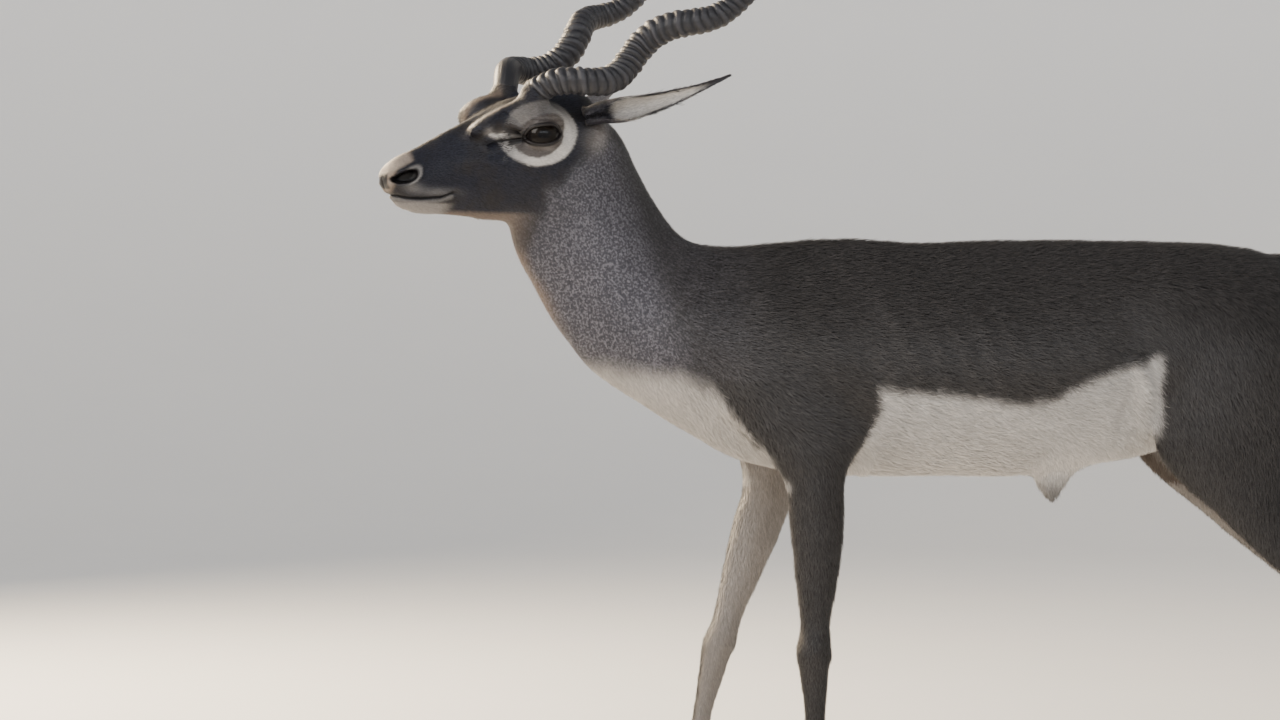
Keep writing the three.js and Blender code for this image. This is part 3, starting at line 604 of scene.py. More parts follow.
def shapeHead(points):
    h = toHead(points)
    moved = h.copy()
    a = folded(h)
    side = np.sign(h[:, 1])
    edge = np.minimum(1, np.abs(h[:, 1]) / 10)
    for centre, reach, push in headRelief:
        near = nearTo(a, centre, reach)
        moved[:, 0] += push[0] * near
        moved[:, 1] += push[1] * near * side * (edge if centre[1] else 0)
        moved[:, 2] += push[2] * near
    # mouth: a groove along its line, deepest in the middle of its length, with a small dip at the corner
    x, z = h[:, 0], h[:, 2]
    d = lineDistance(x, z, mouthLine)
    groove = np.exp(-((d / 1.7) ** 2)) * smoothstep(88, 74, x) * (a[:, 1] < 40)
    inwards = np.stack([0.9 * smoothstep(22, 2, x), -side * smoothstep(0, 16, x), 0 * x], 1)
    moved += inwards * (groove * 4.2)[:, None]
    corner = spot(x, z, (81, -8.5), (5, 3.5))
    moved[:, 1] -= side * corner * 2.4
    # upper lip's split under the nose
    split = np.exp(-((h[:, 1] / 1.5) ** 2)) * smoothstep(16, 6, x)
    split = split * smoothstep(8, -2, z) * smoothstep(-15, -11, z)
    moved[:, 0] += split * 1.8
    # nostril: runs in and back, with a raised rim
    q = fromNostril(x, z)
    offMiddle = smoothstep(4, 9, a[:, 1])
    pit = smoothstep(1.04, 0.5, q) * offMiddle
    rim = np.exp(-(((q - 1.25) / 0.22) ** 2)) * offMiddle
    moved += np.stack([0.5 * pit * nostril["depth"], -side * pit * nostril["depth"], 0 * x], 1)
    moved[:, 1] += side * rim * 1.5
    # slit of the gland before the eye
    d = lineDistance(x, z, tearPit["line"])
    slit = np.exp(-((d / 1.8) ** 2)) * (a[:, 1] > 20)
    swell = np.exp(-(((d - 6) / 3.5) ** 2)) * (a[:, 1] > 20)
    moved[:, 1] += side * (swell * 1.4 - slit * tearPit["depth"])
    # lids: near the opening the skin lies on the ball, inside it the skin drops behind the ball
    for one in sides.values():
        r, along, across = onEye(moved, one)
        out, _, _ = eyeFrame(one)
        facing = (moved - mirrored(eye["centre"], one)) @ out > 0
        away = outsideLid(along, across)
        lid = eye["radius"] + eye["lidOver"]
        tight = (1 - smoothstep(2.5, 14, away)) * facing * (r < 60)
        # a crease over the upper lid, and a fainter one under the lower lid
        upperFold = np.exp(-(((away - 6.5) / 1.3) ** 2)) * (across > 0) * 1.3
        lowerFold = np.exp(-(((away - 7) / 1.5) ** 2)) * (across <= 0) * 0.7
        wanted = r + (lid - r) * tight - (upperFold + lowerFold) * facing * (r < 45)
        # the front corner is drawn out into a groove
        corner = -eye["halfLength"]
        tear = smoothstep(corner - eye["tearLength"], corner, along) * (along < 0)
        tear = smoothstep(2.2, 0.6, np.abs(across + 0.5)) * tear
        wanted -= tear * 2.6 * facing * (r < 40)
        inside = smoothstep(0.4, -0.9, away)
        wanted = wanted + (eye["radius"] - eye["hollow"] - wanted) * inside * facing * (r < 60)
        direction = unit(moved - mirrored(eye["centre"], one))
        moved += direction * (wanted - r)[:, None]
    return fromHead(moved)


def acrossLeg(rows, z):
    # a leg's middle, half its depth and its distance out, at each height
    middle, _ = middleLine(rows)
    order = np.argsort(middle[:, 1])
    half = np.abs(rows[:, 2] - rows[:, 0]) / 2
    return [np.interp(z, middle[order, 1], values[order]) for values in (middle[:, 0], half, rows[:, 4])]


def shapeBody(points, normals):
    a = folded(points)
    push = np.zeros(len(points))
    for centre, reach, amount in bodyRelief:
        push += amount * nearTo(a, centre, reach)
    x, y, z = a.T
    # ribs: slanting waves on the side of the chest
    ribs = np.sin((x + 0.38 * (z - 600)) * 2 * np.pi / 33) * nearTo(a, (10, 110, 610), (120, 60, 80))
    push += 0.9 * ribs
    # fold of the flank, before the thigh, with a hollow in front of it
    fold = lineDistance(x, z, [(212, 622), (226, 592), (232, 558), (236, 515)])
    push += 6 * np.exp(-((fold / 8) ** 2)) * (y > 40)
    # soft wrinkles where the neck meets shoulder and head
    push += 0.7 * np.sin((x * 0.75 - z * 0.65) * 2 * np.pi / 26) * nearTo(a, (-340, 60, 700), (40, 60, 60))
    # legs: a groove between bone and tendon, and the knobs of the joints
    for (kind, side), rows in legRows.items():
        cx, half, out = acrossLeg(rows, points[:, 2])
        mine = (points[:, 1] * side > 5) & (np.abs(points[:, 0] - cx) < half + 25) & (points[:, 2] < 300)
        t = (points[:, 0] - cx) / np.maximum(half, 1)
        cannon = smoothstep(108, 130, z) * (1 - smoothstep(235, 262, z))
        push -= 1.7 * np.exp(-(((t - 0.3) / 0.22) ** 2)) * cannon * mine
        knob = np.abs(y - out) / 14
        if kind == "fore":
            push += mine * 1.4 * np.exp(-(((z - 283) / 15) ** 2)) * (t < 0.2)
            push += mine * 1.8 * np.exp(-(((z - 276) / 8) ** 2)) * (t > 0.5)
        else:
            push += mine * 1.6 * np.exp(-(((z - 262) / 10) ** 2)) * np.exp(-(knob**2))
        push += mine * 1.0 * np.exp(-(((z - 97) / 9) ** 2)) * knob
        push -= mine * 0.9 * np.exp(-(((z - 72) / 8) ** 2))
    push += 0.35 * ripple(points, 46, 5)
    return points + normals * push[:, None]


# Where a leg, the head, the sheath or the tail runs into the trunk: place and reach
junctions = [
    ((-205, 80, 590), (120, 60, 120)), ((330, 80, 590), (130, 60, 130)), ((440, 10, 740), (30, 26, 36)),
    ((-505, 20, 780), (34, 60, 34)), ((-430, 40, 880), (50, 60, 46)), ((160, 0, 496), (60, 30, 16)),
    ((-180, 30, 510), (100, 60, 30)), ((300, 40, 530), (80, 60, 40)), ((-480, 30, 830), (50, 70, 60)),
]

# Where the skin is cut finer, in the head's own millimetres: the whole head in four, then nose,
# eyes, tear gland and mouth once more (middle x z, half-lengths, least distance out)
fineHead = {"front": -20, "back": 236, "under": -60, "lowest": 752}
finest = {
    "noseTo": 41, "eye": (181, 44, 59), "eyeReach": 36,
    "boxes": [((126, 50), (16, 12), 15), ((62, -14), (28, 9), -1)],
}


def junction(points):
    # 1 where two parts run into each other, 0 elsewhere
    total = sum(nearTo(folded(points), centre, reach) for centre, reach in junctions)
    return np.clip(total * 1.3, 0, 1)


def coatDepth(points):
    # how deep the skin lies under the coat's surface
    head = headShare(points, 30)
    leg = smoothstep(500, 380, points[:, 2])
    return 2.4 - 1.5 * head - 1.2 * leg * (1 - head)


def relaxHead(mesh, rounds):
    points, edges = pointsOf(mesh), edgesOf(mesh)
    head = smoothstep(262, 240, toHead(points)[:, 0])[:, None] * (points[:, 2:3] > 740)
    points = relax(points, edges, rounds, 0.5 * head, 0.51 * head)
    setPoints(mesh, points)
    return points


def wholeHead(mesh):
    centres = faceCentres(mesh)
    h = toHead(centres)
    within = (h[:, 0] > fineHead["front"]) & (h[:, 0] < fineHead["back"]) & (h[:, 2] > fineHead["under"])
    return within & (centres[:, 2] > fineHead["lowest"])


def finestPatches(mesh):
    h = toHead(faceCentres(mesh))
    fine = h[:, 0] < finest["noseTo"]
    for side in sides.values():
        fine |= np.linalg.norm(h - mirrored(finest["eye"], side), axis=1) < finest["eyeReach"]
    for (x, z), (halfX, halfZ), out in finest["boxes"]:
        fine |= (np.abs(h[:, 0] - x) < halfX) & (np.abs(h[:, 2] - z) < halfZ) & (np.abs(h[:, 1]) > out)
    return fine


def buildSkin():
    points, faces = roughBody()
    mesh = remeshed(points, faces, body["voxel"])
    print("  joined", len(mesh.vertices))
    points, edges = pointsOf(mesh), edgesOf(mesh)
    points = relax(points, edges, 6, 0.5, 0.52)
    soft = junction(points)[:, None]
    points = relax(points, edges, 26, 0.6 * soft)
    points = relax(points, edges, 5, 0.5, 0.52)
    overBrow = nearTo(folded(toHead(points)), (140, 34, 88), (36, 26, 26))
    points = relax(points, edges, 9, 0.6 * overBrow[:, None])
    setPoints(mesh, points)
    subdivideWhere(mesh, wholeHead(mesh))
    relaxHead(mesh, 7)
    subdivideWhere(mesh, finestPatches(mesh))
    points = relaxHead(mesh, 6)
    normals = normalsOf(mesh)
    points = points - normals * coatDepth(points)[:, None]
    share = headShare(points, 20)[:, None]
    points = points + (shapeBody(points, normals) - points) * (1 - share)
    points = points + (shapeHead(points) - points) * share
    setPoints(mesh, points)
    made = linked("skin", mesh)
    mesh.polygons.foreach_set("use_smooth", np.ones(len(mesh.polygons), bool))
    outwards(made)
    print("  skin", len(mesh.vertices), "points")
    return made


print("skin")
skin = buildSkin()

# Where each kind of hair grows
markings = {
    # height of the border between dark side and white belly along the trunk
    "borderX": [-416, -332, -271, -234, -106, 0, 75, 110, 169, 223, 240],
    "borderZ": [615, 603, 574, 545, 589, 581, 570, 578, 604, 618, 630],
    # front edge of the thigh's dark side, by height
    "flankZ": [480, 520, 560, 600, 640], "flankX": [238, 246, 250, 250, 246],
    # the ring round the eye lies between two tilted ovals: middle x z, half-lengths, tilt;
    # its whiteness goes by the angle round it, up from straight back
    "ringOuter": (178.5, 63.5, 48, 37.0, 0.3), "ringInner": (178.5, 60, 32, 22.3, 0.6),
    "ringAngle": [-180, -166, -150, -110, -40, 10, 60, 95, 155, 174],
    "ringWhite": [0.05, 0.4, 0.62, 0.9, 1.0, 0.66, 0.22, 0.12, 0.28, 0.05],
    "browStreak": [(121, 59), (128, 57), (137, 60.5)],
    # how white belly, chest and the legs' inner sides are, 0 to 1
    "bellyWhite": 0.74, "chestWhite": 0.64, "innerLegWhite": 0.3,
    # how far back the dark face reaches, by height
    "faceZ": [-30, 0, 22, 46, 80], "faceX": [186, 200, 226, 248, 266],
}


def tiltedOval(x, z, shape):
    # distance from the oval's middle, 1 on its border
    cx, cz, rx, rz, tilt = shape
    c, s = math.cos(tilt), math.sin(tilt)
    return np.hypot(((x - cx) * c + (z - cz) * s) / rx, ((z - cz) * c - (x - cx) * s) / rz)


def legMarks(points, inner, wobble):
    # where a foreleg's outer side covers the chest, and how pale the inner sides are
    bx, bz = points[:, 0], points[:, 2]
    onFore = np.zeros(len(points))
    for side in sides.values():
        rows = legRows["fore", side]
        front = np.interp(bz, rows[::-1, 1], rows[::-1, 0]) + 8
        back = np.interp(bz, rows[::-1, 3], rows[::-1, 2]) + 5 + 3 * smoothstep(548, 600, bz)
        covered = smoothstep(-5, 5, bx - front + wobble) * smoothstep(5, -5, bx - back + wobble)
        onFore = np.where((points[:, 1] * side > 38) & (bz < 640), covered, onFore)
    low = smoothstep(330, 250, bz)
    pale = smoothstep(0.1, 0.45, inner + wobble * 0.02) * (1 - low)
    pale = pale + smoothstep(0.3, 0.7, inner + wobble * 0.02) * low
    return onFore, pale * (markings["innerLegWhite"] - 0.06 * low)


def bodyMarks(points, normals, wobble):
    # belly, chest, the legs' inner sides, the ham, the sheath and the underside of the tail
    bx, by, bz = points[:, 0], np.abs(points[:, 1]), points[:, 2]
    border = np.interp(bx, markings["borderX"], markings["borderZ"]) + wobble
    belly = smoothstep(border + 9, border - 9, bz) * markings["bellyWhite"]
    chestWhite = smoothstep(border + 18, border - 16, bz) * markings["chestWhite"]
    belly = np.where(bx < -180, chestWhite, belly)
    inwards = -normals[:, 1] * np.sign(points[:, 1])
    onFore, inner = legMarks(points, inwards, wobble)
    ham = smoothstep(30, 20, by + wobble) * smoothstep(745, 730, bz) * (bx > 400)
    under = smoothstep(0.1, 0.5, -normals[:, 2]) * (by < 50) * (bx < 420)
    thigh = inner * smoothstep(720, 690, bz) * smoothstep(60, 52, by)
    rear = np.maximum(thigh, np.maximum(ham, under) * 0.84)
    hind = smoothstep(-7, 7, bx - np.interp(bz, markings["flankZ"], markings["flankX"]) + wobble)
    pale = belly * (1 - hind) + rear * hind
    pale = np.where(bx < 0, belly * (1 - onFore) + inner * onFore, pale)
    pale = np.where(bz < 470, inner, pale)
    sheath = (bx > 90) & (bx < 205) & (by < 24) & (bz < 512)
    pale = np.where(sheath, 0.25 + 0.5 * smoothstep(456, 486, bz), pale)
    tailUnder = smoothstep(0.2, 0.6, -normals[:, 0]) * (bx > 452) * (by < 26) * (bz > 600) * (bz < 735)
    pale = np.maximum(pale, tailUnder)

    # the tan on the throat where it faces forwards is painted warm rim light
    throat = smoothstep(0.55, 0.9, -normals[:, 0]) * smoothstep(-440, -500, bx)
    throat = throat * smoothstep(860, 800, bz) * smoothstep(600, 680, bz)
    low = smoothstep(545, 490, bz) * smoothstep(0.2, 0.6, pale)
    chest = smoothstep(-200, -280, bx) * smoothstep(0.2, 0.6, pale)
    tan = np.maximum.reduce([throat * 0.4, low * 0.16, chest * 0.14, inner * (bz < 540) * 0.6])
    neck = smoothstep(-300, -372, bx + (bz - 640) * 0.28 + wobble) * smoothstep(560, 640, bz)
    shoulder = smoothstep(-200, -330, bx) * 0.25 * (bz > 600)
    return pale, tan, np.clip(np.maximum(neck, shoulder), 0, 1)


def headMarks(h, wobble):
    # ring and lids, brow streak, nose, lips, chin, the patch under the ear, and the dark face
    x, y, z = h[:, 0], np.abs(h[:, 1]), h[:, 2]
    sideways = smoothstep(14, 24, y)
    outer = tiltedOval(x, z, markings["ringOuter"])
    within = tiltedOval(x, z, markings["ringInner"])
    angle = np.degrees(np.arctan2(z - 62, x - 180))
    white = np.interp(angle, markings["ringAngle"], markings["ringWhite"], period=360)
    ring = smoothstep(1.06, 0.95, outer + wobble * 0.006) * smoothstep(0.94, 1.06, within)
    ring = ring * sideways * white
    lid = smoothstep(1.04, 0.95, within) * sideways
    creases = 0.5 + 0.5 * np.sin((z - 0.12 * np.abs(x - 184)) * 2 * np.pi / 6.5 + wobble * 0.3)
    above = smoothstep(66, 76, z)
    lidPale = lid * (0.1 - 0.06 * above + 0.07 * above * creases)
    lashSpot = spot(x, z, (186, 45), (16, 5)) * lid
    browStreak = streak(x, z, markings["browStreak"], 2.7) * sideways
    browSpot = spot(x, z, (116, 62), (6, 4.5)) * sideways
    # pale and tan along the ridge over the nose towards the brow are painted warm rim light
    crest = streak(x, y, [(92, 20), (124, 25), (160, 26)], 4.5) * (z > 62)

    # how far along the top of the nose a point lies above the nostril; the pale and tan there and on the
    # nose's front are a painted warm rim highlight
    noseTopRimLight = smoothstep(-1.5, 2.5, z - np.interp(x, [0, 12, 36], [9, 17, 27])) * smoothstep(34, 24, x)
    noseFrontRimLight = smoothstep(9, 2, x) * smoothstep(-24, -14, z)
    # the pale line round the nostril is a painted highlight on its raised rim
    nostrilRimHighlight = np.exp(-(((fromNostril(x, z) - 1.26) / 0.2) ** 2)) * smoothstep(14, 26, x)
    upperLip = spot(x, z, (58, -9), (24, 5)) + spot(x, z, (26, -5), (12, 6))
    lipEdge = streak(x, z + 4.5, mouthLine, 2.4) * smoothstep(88, 76, x)
    # the chin's pale is its own white hair and its tan is painted warm rim light; the pale and tan along
    # the jaw are painted warm rim light
    chin = smoothstep(-19, -23, z + wobble * 0.3) * smoothstep(88, 66, x)
    jawRimLight = smoothstep(-27, -33, z) * smoothstep(60, 90, x) * smoothstep(190, 150, x)
    underEar = spot(x, z, (266, 58), (26, 20)) * smoothstep(16, 30, y)

    pale = np.maximum.reduce([
        ring, lidPale, lashSpot * 0.2, browStreak * 0.95, browSpot * 0.36, crest * 0.1, noseTopRimLight * 0.26,
        noseFrontRimLight * 0.16, nostrilRimHighlight * 0.28, upperLip * 0.16 * sideways, lipEdge * 0.22, chin * 0.3,
        jawRimLight * 0.08, underEar * 0.22])
    tan = np.maximum.reduce([
        noseTopRimLight * 0.5, noseFrontRimLight * 0.45, crest * 0.42, lid * 0.1, ring * above * 0.12, jawRimLight * 0.36,
        underEar * 0.12, chin * 0.12])
    edge = np.interp(z, markings["faceZ"], markings["faceX"]) + wobble * 2
    cheek = smoothstep(edge - 24, edge + 8, x)
    cheek = np.maximum(cheek, smoothstep(-16, -34, z) * smoothstep(120, 170, x) * 0.6)
    return pale, tan, np.clip(1 - cheek, 0, 1), cheek * 0.85


def bareMarks(h):
    # nose pad, nostrils, lips, lids and the dark wedge before the eye, the gland's slit
    x, y, z = h[:, 0], np.abs(h[:, 1]), h[:, 2]
    bare = smoothstep(6, 2, x) * smoothstep(13, 9, y) * smoothstep(-9, -6, z) * smoothstep(12, 8, z)
    bare = np.maximum(bare, smoothstep(1.16, 0.95, fromNostril(x, z)) * (y > 6))
    bare = np.maximum(bare, streak(x, z, mouthLine, 1.7) * smoothstep(86, 78, x))
    bare = np.maximum(bare, streak(x, z, tearPit["line"], 1.6) * (y > 20) * 0.8)
    for side in sides.values():
        r, along, across = onEye(h, side)
        away = outsideLid(along, across)
        t = (-along - eye["halfLength"] + 4) / (eye["tearLength"] + 2)
        wedge = smoothstep(1.5, 0, np.abs(across - 1) - 6.2 * (1 - t)) * (t > 0) * (t < 1)
        bare = np.maximum(bare, np.where(r < 42, np.maximum(smoothstep(3.4, 2.0, away), wedge), 0))
    return bare


def marks(points, normals):
    # shares of each kind of hair at each point, 0 to 1; the pale and tan shares also hold painted warm rim
    # light on nose, brow ridge, jaw, chin and throat
    h = toHead(points)
    wobble = ripple(points, 30, 11) * 2 + ripple(points, 11, 12) * 0.9
    onHead = headShare(points, 12)
    pale, tan, grizzle = bodyMarks(points, normals, wobble)
    headPale, headTan, face, headGrizzle = headMarks(h, wobble)
    rest = 1 - onHead
    return {
        "pale": headPale * onHead + pale * rest, "tan": headTan * onHead + tan * rest,
        "face": face * onHead, "grizzle": headGrizzle * onHead + grizzle * rest,
        "bare": bareMarks(h) * onHead,
    }


def lieOf(points, normals):
    # the way the hair points: back over the head, down the neck and legs, back and down the trunk
    onHead = headShare(points, 30)[:, None]
    bx, by, bz = points[:, 0], np.abs(points[:, 1]), points[:, 2]
    neck = smoothstep(-270, -400, bx)[:, None]
    leg = smoothstep(560, 470, bz + np.where(np.abs(bx) > 100, 0, 200))[:, None]
    thigh = (smoothstep(190, 290, bx) * smoothstep(740, 660, bz))[:, None]
    breast = (smoothstep(-150, -300, bx) * smoothstep(640, 560, bz))[:, None]
    tail = (smoothstep(440, 466, bx) * (by < 40))[:, None]
    top = smoothstep(0.4, 0.9, normals[:, 2:3])
    way = np.array([0.94, 0, -0.33]) + top * np.array([0, 0, 0.3])
    way = way + (np.array([0.35, 0, -0.93]) - way) * thigh
    way = way + (np.array([0.45, 0, -0.9]) - way) * neck
    way = way + (np.array([0.4, 0, -0.92]) - way) * breast * (1 - neck)
    way = way + (np.array([0.08, 0, -1.0]) - way) * np.maximum(leg, tail)
    h = toHead(points)
    faceWay = np.array([1.0, 0, -0.05]) + smoothstep(60, 0, h[:, 2:3]) * np.array([0, 0, -0.35])
    way = way * (1 - onHead) + (faceWay @ headRotation.T) * onHead
    way = way - normals * (way * normals).sum(1, keepdims=True)
    return unit(way)


coat = {
    "tufts": 440000, "seed": 7,
    "bodyLength": 13, "bodyWidth": 0.95, "headLength": 5.6, "headWidth": 0.58,
    "lift": 0.2,           # how steeply a tuft leaves the skin
    "jitter": 0.22,        # spread of the tufts' directions
    "pieces": 7,
}


def coatSizes(points):
    # length and width of a tuft, and how close they stand
    onHead = headShare(points, 20)
    h = toHead(points)
    bx, by, bz = points[:, 0], np.abs(points[:, 1]), points[:, 2]
    muzzle = smoothstep(110, 40, h[:, 0])
    nearEye = np.exp(-(((h[:, 0] - 182) / 34) ** 2 + ((h[:, 2] - 58) / 26) ** 2))
    headLength = coat["headLength"] - 2.4 * muzzle - 1.8 * nearEye
    headWidth = coat["headWidth"] - 0.12 * muzzle - 0.08 * nearEye
    leg = smoothstep(560, 420, bz + np.where(np.abs(bx) > 100, 0, 200))
    low = smoothstep(330, 270, bz)
    belly = smoothstep(560, 500, bz) * (bx > -110) * (bx < 240) * (by < 110)
    tassel = smoothstep(700, 640, bz) * (bx > 455) * (by < 34)
    coronet = smoothstep(58, 47, bz)
    length = coat["bodyLength"] - 3 * leg - 3.2 * low + 3 * belly * (1 - leg) + 15 * tassel + 5 * coronet
    width = coat["bodyWidth"] - 0.15 * leg - 0.2 * low
    length = headLength * onHead + length * (1 - onHead)
    width = headWidth * onHead + width * (1 - onHead)
    neck = smoothstep(-300, -400, bx) * (1 - onHead)
    length = length - 4.5 * neck
    width = width - 0.2 * neck
    close = 1 + 0.8 * neck + 0.25 * leg + 0.4 * low + 1.5 * tassel + 1.5 * coronet
    close = close * (1 - onHead) + (2.6 + 1.0 * muzzle + 0.6 * nearEye) * onHead
    return length, width, close


def trianglesOf(mesh):
    mesh.calc_loop_triangles()
    flat = np.empty(len(mesh.loop_triangles) * 3, np.int32)
    mesh.loop_triangles.foreach_get("vertices", flat)
    return flat.reshape(-1, 3)


def scattered(points, normals, triangles, close, total, rng, others=()):
    # even steps along the summed area * closeness pick the triangles; 1 - sqrt(r), sqrt(r)(1 - q),
    # sqrt(r) q are the shares of the three corners. Gives place, normal and the other values there
    corners = points[triangles]
    area = np.linalg.norm(np.cross(corners[:, 1] - corners[:, 0], corners[:, 2] - corners[:, 0]), axis=1)
    summed = np.cumsum(area * close[triangles].mean(1))
    at = (np.arange(total) + rng.random(total)) / total * summed[-1]
    picked = triangles[np.searchsorted(summed, at)]
    r, q = np.sqrt(rng.random(total)), rng.random(total)
    share = np.stack([1 - r, r * (1 - q), r * q], 1)
    place = (points[picked] * share[:, :, None]).sum(1)
    normal = unit((normals[picked] * share[:, :, None]).sum(1))
    return place, normal, [(values[picked] * share).sum(1) for values in others]


def unwrap(points):
    # one tile for each part: the turn about the part's middle line across, the length along it up
    h = toHead(points)
    onHead = headShare(points, 1) > 0.5
    bx, by, bz = points.T
    u = np.arctan2(by, bz - 640) / (2 * np.pi) + 0.5
    v = (bx + 560) / 1100
    uv = np.stack([0.02 + 0.46 * u, 0.02 + 0.96 * v], 1)
    headUv = np.stack([0.52 + 0.22 * (np.arctan2(h[:, 1], h[:, 2] - 20) / (2 * np.pi) + 0.5),
                       0.55 + 0.42 * (h[:, 0] + 10) / 320], 1)
    uv = np.where(onHead[:, None], headUv, uv)
    neck = (bx < -390) & ~onHead
    neckUv = np.stack([0.76 + 0.22 * (np.arctan2(by, bx + 440) / (2 * np.pi) + 0.5),
                       0.55 + 0.42 * (bz - 560) / 400], 1)
    uv = np.where(neck[:, None], neckUv, uv)
    for k, ((kind, side), rows) in enumerate(legRows.items()):
        cx, _, out = acrossLeg(rows, bz)
        out = out * side
        mine = (bz < 520) & (by * side > 10) & ((bx < 100) == (kind == "fore")) & (np.abs(bx - cx) < 110)
        legUv = np.stack([0.52 + 0.115 * k + 0.1 * (np.arctan2(by - out, bx - cx) / (2 * np.pi) + 0.5),
                          0.02 + 0.5 * bz / 540], 1)
        uv = np.where(mine[:, None], legUv, uv)
    return uv


def tuftPiece(name, roots, normals, way, length, width, values, uv, rng, lift, jitter):
    # a thin blade: two root corners, two middle corners, one tip, bent over towards the skin
    count = len(roots)
    across = np.cross(normals, way)
    swing = rng.normal(size=(count, 1)) * jitter
    way = unit(way + across * swing)
    across = unit(np.cross(normals, way))
    length = (length * rng.uniform(0.75, 1.2, count))[:, None]
    half = (width * rng.uniform(0.8, 1.2, count))[:, None] / 2
    rise = (lift * rng.uniform(0.5, 1.5, count))[:, None]
    low = roots - normals * 0.3
    middle = roots + way * length * 0.5 + normals * length * rise * 0.62
    sway = across * length * rng.normal(size=(count, 1)) * 0.06
    tip = roots + way * length + normals * length * rise * 0.8 + sway
    points = np.stack([low - across * half, low + across * half, middle + across * half * 0.8,
                       middle - across * half * 0.8, tip], 1).reshape(-1, 3)
    base = np.arange(count)[:, None] * 5
    triangles = (base + np.array([[0, 1, 2, 0, 2, 3, 3, 2, 4]])).reshape(-1, 3)
    mesh = bpy.data.meshes.new(name)
    mesh.vertices.add(len(points))
    mesh.vertices.foreach_set("co", intoFrame(points).astype(np.float32).ravel())
    mesh.loops.add(triangles.size)
    mesh.loops.foreach_set("vertex_index", triangles.ravel().astype(np.int32))
    mesh.polygons.add(len(triangles))
    mesh.polygons.foreach_set("loop_start", np.arange(0, triangles.size, 3, dtype=np.int32))
    mesh.polygons.foreach_set("use_smooth", np.ones(len(triangles), bool))
    mesh.update(calc_edges=True)
    for key, value in values.items():
        setValues(mesh, key, np.repeat(value, 5))
    setValues(mesh, "tone", np.repeat(rng.random(count), 5))
    setValues(mesh, "along", np.tile([0, 0, 0.5, 0.5, 1], count))
    patch = np.array([[0, 0], [0.003, 0], [0.003, 0.0015], [0, 0.0015], [0.0015, 0.003]])
    layer = mesh.uv_layers.new(name="OFBake")
    corner = (uv[:, None, :] + patch[None]).reshape(-1, 2)[triangles.ravel()]
    layer.data.foreach_set("uv", corner.astype(np.float32).ravel())
    return linked(name, mesh)


def growCoat(made):
    mesh = made.data
    points, normals = pointsOf(mesh), normalsOf(mesh)
    _, _, close = coatSizes(points)
    close = close * (1 - (marks(points, normals)["bare"] > 0.5))
    rng = np.random.default_rng(coat["seed"])
    roots, up, _ = scattered(points, normals, trianglesOf(mesh), close, coat["tufts"], rng)
    way = lieOf(roots, up)
    length, width, _ = coatSizes(roots)
    values = marks(roots + way * length[:, None] * 0.45, up)
    keep = (marks(roots, up)["bare"] < 0.5) & (roots[:, 2] > 34)
    for side in sides.values():
        h = toHead(roots)
        r, along, across = onEye(h, side)
        keep &= ~((r < 34) & (outsideLid(along, across) < 3.2))
    order = np.flatnonzero(keep)
    order = order[np.argsort(roots[order, 0])]
    uv = unwrap(roots)
    pieces = []
    for k, chosen in enumerate(np.array_split(order, coat["pieces"])):
        pieces.append(tuftPiece(f"coat_{k + 1}", roots[chosen], up[chosen], way[chosen], length[chosen],
                                width[chosen], {key: v[chosen] for key, v in values.items()},
                                uv[chosen], rng, coat["lift"], coat["jitter"]))
    return pieces


def finishSkin(made):
    mesh = made.data
    points, normals = pointsOf(mesh), normalsOf(mesh)
    for key, value in marks(points, normals).items():
        setValues(mesh, key, value)
    setPoints(mesh, intoFrame(points))


print("coat")
coatPieces = growCoat(skin)
finishSkin(skin)


def solid(name, grid, faces):
    made = newObject(name, intoFrame(grid.reshape(-1, 3)), faces)
    outwards(made)
    return made


def loft(name, grid):
    return solid(name, grid, closedFaces(*grid.shape[:2]))


# Eye: a ball that bulges a little more in front, as the cornea does
def eyePiece(name, side):
    rings, around = 96, 128
    v = np.linspace(0.004, np.pi - 0.004, rings)[:, None]
    u = np.linspace(0, 2 * np.pi, around, endpoint=False)[None]
    out, back, up = eyeFrame(side)
    r = eye["radius"] + eye["bulge"] * np.exp(-((v / 0.5) ** 2)) * np.ones_like(u)
    p = (r * np.cos(v))[..., None] * out + (r * np.sin(v) * np.cos(u))[..., None] * back
    p = p + (r * np.sin(v) * np.sin(u))[..., None] * up
    made = loft(name, fromHead(p + mirrored(eye["centre"], side)))
    across = np.sin(v) * np.cos(u)
    high = np.sin(v) * np.sin(u) + 0 * v
    front = np.cos(v) > 0
    pupil = np.hypot(across / 0.36, high / 0.22)
    setValues(made.data, "pupil", np.where(front, smoothstep(1.12, 0.9, pupil), 0))
    setValues(made.data, "iris", np.where(front, smoothstep(0.74, 0.62, np.hypot(across, high)), 0))
    setValues(made.data, "spoke", np.arctan2(high, across) + 0 * v)
    return made


